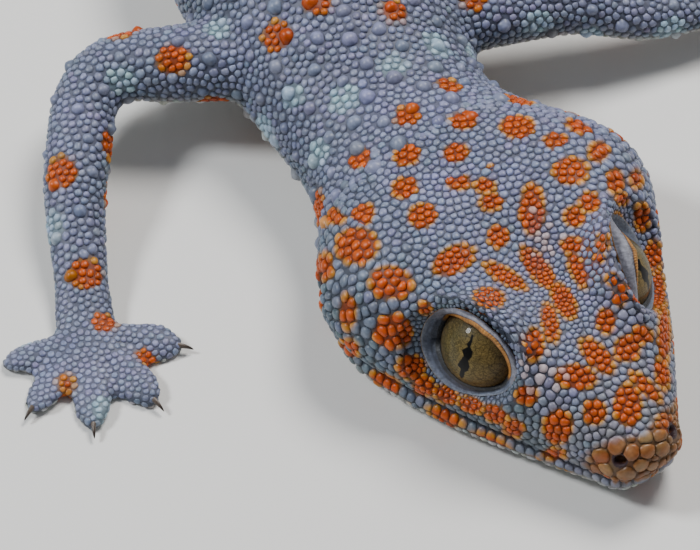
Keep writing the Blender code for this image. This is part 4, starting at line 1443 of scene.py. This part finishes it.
def paint(material, shader, light, gloss, height, strength, depth, invert=False):
    """Colours a material by its mesh's tint, lightened and darkened, with its gloss and its relief."""
    colour = add_node(material, "ShaderNodeAttribute", {}, "Color", attribute_name="tint")
    lit = add_node(material, "ShaderNodeVectorMath", {0: colour, "Scale": light}, "Vector", operation="SCALE")
    relief = {"Strength": strength, "Distance": depth * MM, "Height": height}
    normal = add_node(material, "ShaderNodeBump", relief, "Normal", invert=invert)
    feed(material, shader, {"Base Color": lit, "Roughness": gloss, "Normal": normal})


def tinted_material(name, roughness, bump_scale, bump_depth, speckle=0.22, granules=0.0):
    """A material coloured by the mesh and mottled, which is slightly rough or covered in fine granules."""
    material, shader = principled(name, roughness, 0.4)
    where = place_in(material)
    noise = noise_of(material, where, bump_scale, 4.0)
    light = mapped(material, noise, 1.0 - speckle, 1.0 + speckle, 0.3, 0.7)
    gloss = mapped(material, noise, roughness - 0.08, roughness + 0.14)
    height = noise
    if granules:
        height = add_node(material, "ShaderNodeTexVoronoi", {"Vector": where, "Scale": granules}, "Distance")
    paint(material, shader, light, gloss, height, 0.5, bump_depth, granules > 0)
    return material


def eye_material():
    """Wet eyeball: the iris, with fine cracks, under a clear shiny coat."""
    material, shader = principled("iris", 0.45, 0.1)
    where = place_in(material)
    warp = noise_of(material, where, 700, 3.0, "Color")
    bend = {0: warp, 1: (0.0011, 0.0011, 0.0011), 2: where}
    bent = add_node(material, "ShaderNodeVectorMath", bend, "Vector", operation="MULTIPLY_ADD")
    cells = {"Vector": bent, "Scale": 1150}
    edge = add_node(material, "ShaderNodeTexVoronoi", cells, "Distance", feature="DISTANCE_TO_EDGE")
    crack = mapped(material, edge, 0.42, 1.0, 0.0, 0.05)
    speck = noise_of(material, where, 5200, 5.0)
    light = mapped(material, speck, 0.6, 1.5, 0.3, 0.7)
    both = add_node(material, "ShaderNodeMath", {0: crack, 1: light}, "Value", operation="MULTIPLY")
    paint(material, shader, both, mapped(material, speck, 0.36, 0.54), crack, 0.3, 0.02)
    feed(material, shader, {"Coat Weight": 0.28, "Coat Roughness": 0.02, "Coat IOR": 1.33})
    return material


# Eyes, lids and claws


def side_name(side):
    """The word for a side."""
    return "left" if side > 0 else "right"


def build_eye(side, material):
    """An eyeball, denser where it shows, with its iris and pupil."""
    middle, *axes = eye_frame(side)
    polar = np.concatenate([np.radians(np.linspace(*span)) for span in (EYE_SHOWN, EYE_HIDDEN)])
    angle = turns(EYE_SIDES)
    plan = np.stack([np.cos(angle), np.sin(angle), np.ones(EYE_SIDES)], 1)
    stretch = np.stack([np.sin(polar), np.sin(polar), np.cos(polar)], 1)
    local = (plan[None] * stretch[:, None]).reshape(-1, 3) * EYE_RADIUS
    points = middle + local @ np.array(axes)
    quads = tube_quads(len(polar), EYE_SIDES)[:, (0, 3, 2, 1)]
    if side < 0:
        quads = quads[:, ::-1]
    eye = mesh_object(f"{side_name(side)}_eyeball", points, quads)
    eye.data.validate()
    tint(eye, iris_colours(local if side < 0 else far_slit(local)))
    wear(eye, material)
    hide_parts(f"{side_name(side)}_eye")


def far_slit(local):
    """Places on the far eyeball, turned and moved so that the near eye's iris fits it."""
    turn = math.radians(FAR_SLIT_TURN)
    a, c = local[:, 0] - FAR_SLIT_MOVE[0], local[:, 1] - FAR_SLIT_MOVE[1]
    along, across = a * math.cos(turn) + c * math.sin(turn), c * math.cos(turn) - a * math.sin(turn)
    return np.stack([along, across, local[:, 2]], 1)


def slit_depth(local):
    """How deep places on the eyeball are in the pupil's slit, in mm from its edge; outside is negative."""
    borders = [np.array([on_eyeball(p) for p in border]) for border in (PUPIL_BACK, PUPIL_FRONT)]
    # Each place is given by how far it is along the slit, from its top to its foot, and how far aside
    top, foot = borders[0][0], borders[0][-1]
    length = np.linalg.norm(foot - top)
    way = (foot - top) / length
    aside = np.array((-way[1], way[0]))
    run, off = (local[:, :2] - top) @ way, (local[:, :2] - top) @ aside
    edges = []
    for border in borders:
        along, out = (border - top) @ way, (border - top) @ aside
        order = np.argsort(along)
        edges.append(np.interp(run, along[order], out[order]))
    depth = np.minimum(off - np.minimum(*edges), np.maximum(*edges) - off)
    return np.where((run > 0) & (run < length) & (local[:, 2] > 0), depth, -1.0)


def iris_colours(local):
    """Olive and gold, veined, with a black jagged slit."""
    a, c = local[:, 0], local[:, 1]
    depth = slit_depth(local)
    colour = blend(IRIS_GOLD, IRIS_OLIVE, 0.45 + 0.5 * wave_noise(local, 2.4, 21))
    colour = blend(colour, IRIS_BROWN, ramp(np.hypot(a, c), 2.6, 4.2) * 0.75)
    colour = colour * (1 + np.clip(a / 3.5, -1, 1)[:, None] * np.array(IRIS_WARMTH))
    marbled = wave_noise(local * (1, 1, 0.2), 0.62, 22)
    veins = np.exp(-((marbled / 0.1) ** 2)) * np.clip(0.6 + 0.5 * wave_noise(local, 1.7, 23), 0, 1)
    colour = blend(colour, IRIS_VEIN, veins * 0.6)
    streak = 0.5 + 0.5 * np.sin(np.arctan2(c, a) * 37 + 3 * wave_noise(local, 1.1, 24))
    colour = blend(colour, np.array(IRIS_GOLD) * 1.25, streak * 0.22)
    halo = np.exp(-(((depth + 0.22) / 0.2) ** 2)) * (depth < 0)
    colour = blend(colour, np.array(IRIS_GOLD) * 1.3, halo * 0.5)
    return blend(colour, PUPIL_BLACK, ramp(depth, -0.042, 0.018))


def from_upper_middle(angles):
    """How far angles round the eye's axis are from the upper lid's middle, and half of its span."""
    back, front = (math.atan2(*on_ring(pixel)[::-1]) for pixel in EYE_CORNERS)
    back %= 2 * math.pi
    middle, half = (back + front) / 2, (back - front) / 2
    return np.abs((angles - middle + math.pi) % (2 * math.pi) - math.pi), half


def upper_share(angles, wider=0.0):
    """One along the upper lid, nothing along the lower, with a short change at the corners."""
    away, half = from_upper_middle(angles)
    return ramp(away, half + wider + LID_CORNER, half + wider - LID_CORNER)


def upper_height(angles):
    """How much of its full height the upper lid's edge has: all in its middle, little at the corners."""
    away, half = from_upper_middle(angles)
    return 0.2 + 0.8 * np.cos(np.clip(away / half, 0, 1) * math.pi / 2) ** 0.7


def lid_lean(side):
    """The way the lids stand out: towards the camera at the near eye, and mirrored at the other."""
    forward = camera_view()[-1]
    if side < 0:
        return -forward
    return -forward + 2 * (forward @ HEAD_AXES[1]) * HEAD_AXES[1]


def round_eye(angles, reach, out, side):
    """Points in mm round an eye's axis."""
    middle, *axes = eye_frame(side)
    return middle + np.stack([reach * np.cos(angles), reach * np.sin(angles), out], 1) @ np.array(axes)


def lid_edges(side, surface, angles):
    """The lids' edge on the eyeball, and the ring's on the skin, in mm."""
    inner, outer = opening_reach(angles), ring_reach(angles)
    if side > 0:
        inner = inner - FAR_LID * upper_height(angles) * upper_share(angles)
    opening = round_eye(angles, inner, np.sqrt((EYE_RADIUS + LID_CLEARANCE) ** 2 - inner**2), side)
    looks = eye_frame(side)[-1]
    high = round_eye(angles, outer, np.full(len(angles), HIGH_OVER_EYE), side)
    out = np.array([HIGH_OVER_EYE - surface.tree.ray_cast(p, -looks)[3] for p in high.tolist()])
    out = np.maximum(out, ring_out(angles))
    for _ in range(RING_SMOOTHING):
        out = (np.roll(out, 3) + out + np.roll(out, -3)) / 3
    return opening, round_eye(angles, outer, out, side)


def build_lids(side, surface, material):
    """Both lids and the smooth ring round them, from the eyeball out to the skin."""
    angles = turns(LID_POINTS) - math.pi
    opening, ring = lid_edges(side, surface, angles)
    width = np.linalg.norm(ring - opening, axis=1)
    upper, tinted = upper_share(angles), upper_share(angles, LID_TINT_WIDER)
    beads = np.abs(np.sin(angles * LID_BEADS / 2)) * LID_BEAD_RISE * upper
    tall, lean = upper_height(angles), lid_lean(side)
    rows, colours = [], []
    for reach, rest, rise_up, name_up, rise_down, name_down in LID_SECTION:
        lift = rise_down + (rise_up * tall - rise_down) * upper
        if rest == 0 and rise_up > LID_BEADS_OVER:
            lift = lift + beads
        start = np.minimum(reach / width, LID_EDGE_LIMIT)
        share = start + (1 - start) * rest
        rows.append(opening + (ring - opening) * share[:, None] + lean * lift[:, None])
        colours.append(blend(LID_COLOURS[name_down], LID_COLOURS[name_up], tinted))
    points = np.concatenate(rows)
    quads = tube_quads(len(rows), LID_POINTS)
    if side < 0:
        quads = quads[:, ::-1]
    lids = mesh_object(f"{side_name(side)}_lids", points, quads)
    mottle = 1 + 0.22 * wave_noise(points, 1.1, 31) + 0.2 * wave_noise(points, 0.3, 32)
    tint(lids, np.concatenate(colours) * mottle[:, None])
    wear(lids, material)


def build_claws(material):
    """Small hooked claws at the tips of the toes."""
    share = np.linspace(0, 1, CLAW_LEVELS)
    angle = turns(CLAW_SIDES)
    rings = []
    for tip, along in TOE_TIPS:
        side = np.array((-along[1], along[0], 0.0))
        for t in share:
            bend = t * CLAW_BEND
            height = CLAW_RISE - CLAW_DROP * (1 - math.cos(bend))
            centre = tip + along * (CLAW_LENGTH * (math.sin(bend) - CLAW_SUNK)) + (0, 0, height)
            normal = unit(np.cross(side, along * math.cos(bend) - np.array((0, 0, math.sin(bend) * 0.6))))
            radius = CLAW_RADIUS * (1 - t) ** CLAW_TAPER + CLAW_POINT
            ring = np.outer(np.cos(angle), side) * CLAW_NARROW + np.outer(np.sin(angle), normal)
            rings.append(centre + radius * ring)
    starts = np.arange(len(TOE_TIPS))[:, None, None] * CLAW_LEVELS * CLAW_SIDES
    quads = (tube_quads(CLAW_LEVELS, CLAW_SIDES)[None] + starts).reshape(-1, 4)
    claws = mesh_object("claws", np.concatenate(rings), quads)
    tint(claws, blend(HORN_ROOT, HORN_TIP, np.tile(np.repeat(share, CLAW_SIDES), len(TOE_TIPS)) * 1.6))
    wear(claws, material)


# Skin and scales in their colours


def paint_skin(skin, surface, markings, material):
    """The skin between the scales: the same markings, darkened as painted shade in the gaps."""
    points, normals = surface.points, surface.normals
    head = in_nodes(regions_of(points), HEAD_NODES)
    tip = head & (on_snout(points) > 0)
    # The skin between the scales is darkened as painted shade in the gaps
    share = np.where(tip, SHADE_BETWEEN_PLATES, np.where(head, SHADE_BETWEEN_HEAD_SCALES, SHADE_BETWEEN_BODY_SCALES))
    colours = markings.at(points, normals, head) * share[:, None]
    # Painted shade along the mouth's groove and in the nostrils and ears
    colours[~clear_of_mouth(points, MOUTH_SHADE)] = RECESS_SHADE
    colours[pits(points)] = RECESS_SHADE
    # The skin inside the ring, under the lids, gets painted shade
    colours[from_orbit(points) < ORBIT_MARGIN] = ORBIT_SHADE
    tint(skin, colours)
    wear(skin, material)
    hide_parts(*FLESH)


def corner_colours(points, normals, rings, tops, markings):
    """Colours for every point of the head's scales; spots' edges go half by the scale, half by the point."""
    corners = every_point(rings, tops)
    each = corners.shape[1]
    corners = corners.reshape(-1, 3)
    head = in_nodes(regions_of(points), HEAD_NODES)
    facing, all_head = np.repeat(normals, each, 0), np.repeat(head, each)
    depth = 0.5 * markings.orange_depth(corners, facing, all_head)
    depth = depth + 0.5 * np.repeat(markings.orange_depth(points, normals, head), each)
    return markings.at(corners, facing, all_head, depth).reshape(-1, each, 3)


def cling_old_skin(points, normals, colours, chance):
    """Gives some scales the pale colour of old skin, where it clings."""
    near = np.min([from_centre(pixels_of(points), *patch) for patch in SHED_PATCHES], axis=0)
    shed = (chance.random(len(points)) < SHED_CHANCE * ramp(near, *PATCH_EDGE)) & (normals[:, 2] > 0.2)
    colours[shed] = 0.45 * colours[shed] + 0.55 * np.array(SHED)


def dress_head(surface, markings, material, chance):
    """The head's scales, with the plates along its lips and at its snout."""
    plates, plate_radii = head_plates(surface)
    holes = [on_head(NOSTRIL_AT, side) for side in (-1, 1)]
    plates = np.concatenate([plates, holes])
    plate_radii = np.append(plate_radii, [NOSTRIL_WEIGHT] * len(holes))
    mask = in_nodes(surface.regions, HEAD_NODES)
    points, normals, radii, fixed = fill_between(surface, mask, head_radius, plates, plate_radii, chance)
    heights = radii * np.where(fixed, LIP_HEIGHT, BEAD_HEIGHT)
    outline = outlines(points, normals, radii, HEAD_SIDES)
    rings, tops = scale_rings(surface, points, normals, outline, heights, "bead")
    tip = fixed & (on_snout(points) > 0)
    for chosen, profile, widen in ((tip, "plate", PLATE_WIDENING), (fixed & ~tip, "lip", 1.0)):
        reach, heading, other = (v[chosen] for v in outline)
        part = reach * widen, heading, other
        at, facing = points[chosen], normals[chosen]
        rings[chosen], _ = scale_rings(surface, at, facing, part, heights[chosen], profile)
    clear = np.arange(len(points)) < len(points) - len(holes)
    for hole in holes:
        clear &= np.linalg.norm(points - hole, axis=1) > NOSTRIL_ROOM + 0.6 * radii
    points, normals, rings, tops, tip = (v[clear] for v in (points, normals, rings, tops, tip))
    colours = corner_colours(points, normals, rings, tops, markings)
    colours = uneven(colours, chance, np.where(tip, PLATE_UNEVEN, 1.0))
    cling_old_skin(points, normals, colours, chance)
    add_pieces("head_scales", points, rings, tops, colours, material)


def dress_body(surface, markings, material, chance):
    """The scales behind the head: large tubercles, and granules between them."""
    bumps, bump_radii = tubercle_places(surface, chance)
    mask = ~in_nodes(surface.regions, HEAD_NODES)
    points, normals, radii, fixed = fill_between(surface, mask, body_radius, bumps, bump_radii, chance)
    head = in_nodes(regions_of(points), HEAD_NODES)
    colours = uneven(markings.at(points, normals, head), chance)
    small = np.where(points[:, 2] < SOLE_TOP, SOLE_HEIGHT, GRANULE_HEIGHT)
    heights = radii * np.where(fixed, TUBERCLE_HEIGHT, small)
    # All scales shape each other, so outlines are made together before they are parted by kind
    kinds = (("body_scales", ~fixed, BODY_SIDES, "bead"), ("tubercles", fixed, TUBERCLE_SIDES, "cone"))
    for name, chosen, sides, profile in kinds:
        outline = [v[chosen] for v in outlines(points, normals, radii, sides)]
        at = points[chosen]
        rings, tops = scale_rings(surface, at, normals[chosen], outline, heights[chosen], profile)
        add_pieces(name, at, rings, tops, colours[chosen], material)


# Stage, light and camera


def build_stage():
    """A plain pale floor."""
    bpy.ops.mesh.primitive_plane_add(size=FLOOR_SIZE, location=(0, 0, 0))
    floor = bpy.context.object
    floor.name = "floor"
    material, shader = principled("floor", 0.75)
    shader.inputs["Base Color"].default_value = FLOOR
    floor.data.materials.append(material)


def aimed(obj, location, way):
    """Puts an object in the scene at a place in metres, looking a way."""
    obj.location = location
    obj.rotation_euler = Vector(way).to_track_quat("-Z", "Y").to_euler()
    return show(obj)


def add_light(name, away, size, power, colour):
    """A soft round light, a way off from the head and aimed at it."""
    data = bpy.data.lights.new(name, "AREA")
    data.shape = "DISK"
    data.size = size
    data.energy = power
    data.color = colour
    head = Vector(on_head(LIT_PLACE, 1) * MM)
    aimed(bpy.data.objects.new(name, data), head + Vector(away), -Vector(away))


def build_lights():
    """Soft studio light from behind and from the left, with a weak fill from all round."""
    for light in LIGHTS:
        add_light(*light)
    world = bpy.data.worlds.new("studio")
    world.use_nodes = True
    background = world.node_tree.nodes["Background"]
    background.inputs["Color"].default_value = SKY
    background.inputs["Strength"].default_value = SKY_STRENGTH
    bpy.context.scene.world = world


def build_camera():
    """The photo's camera."""
    data = bpy.data.cameras.new("camera")
    data.sensor_width = SENSOR
    data.lens = SENSOR * CAMERA_DISTANCE / PICTURE_WIDTH
    data.clip_start = 0.01
    eye, _, _, forward = camera_view()
    bpy.context.scene.camera = aimed(bpy.data.objects.new("camera", data), Vector(eye * MM), forward)


def main():
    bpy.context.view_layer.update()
    chance = np.random.default_rng(SEED)
    build_camera()
    build_lights()
    build_stage()
    skin = build_skin()
    surface = Surface(skin.data)
    markings = Markings(surface)
    paint_skin(skin, surface, markings, tinted_material("skin", 0.5, 2400, 0.04))
    scales = tinted_material("scales", 0.36, 1800, 0.03)
    dress_head(surface, markings, scales, chance)
    dress_body(surface, markings, scales, chance)
    eye = eye_material()
    lid_skin = tinted_material("lid_skin", 0.5, 2400, 0.07, granules=3600.0)
    for side in (-1, 1):
        build_eye(side, eye)
        build_lids(side, surface, lid_skin)
    build_claws(tinted_material("horn", 0.26, 2500, 0.02, speckle=0.15))


main()
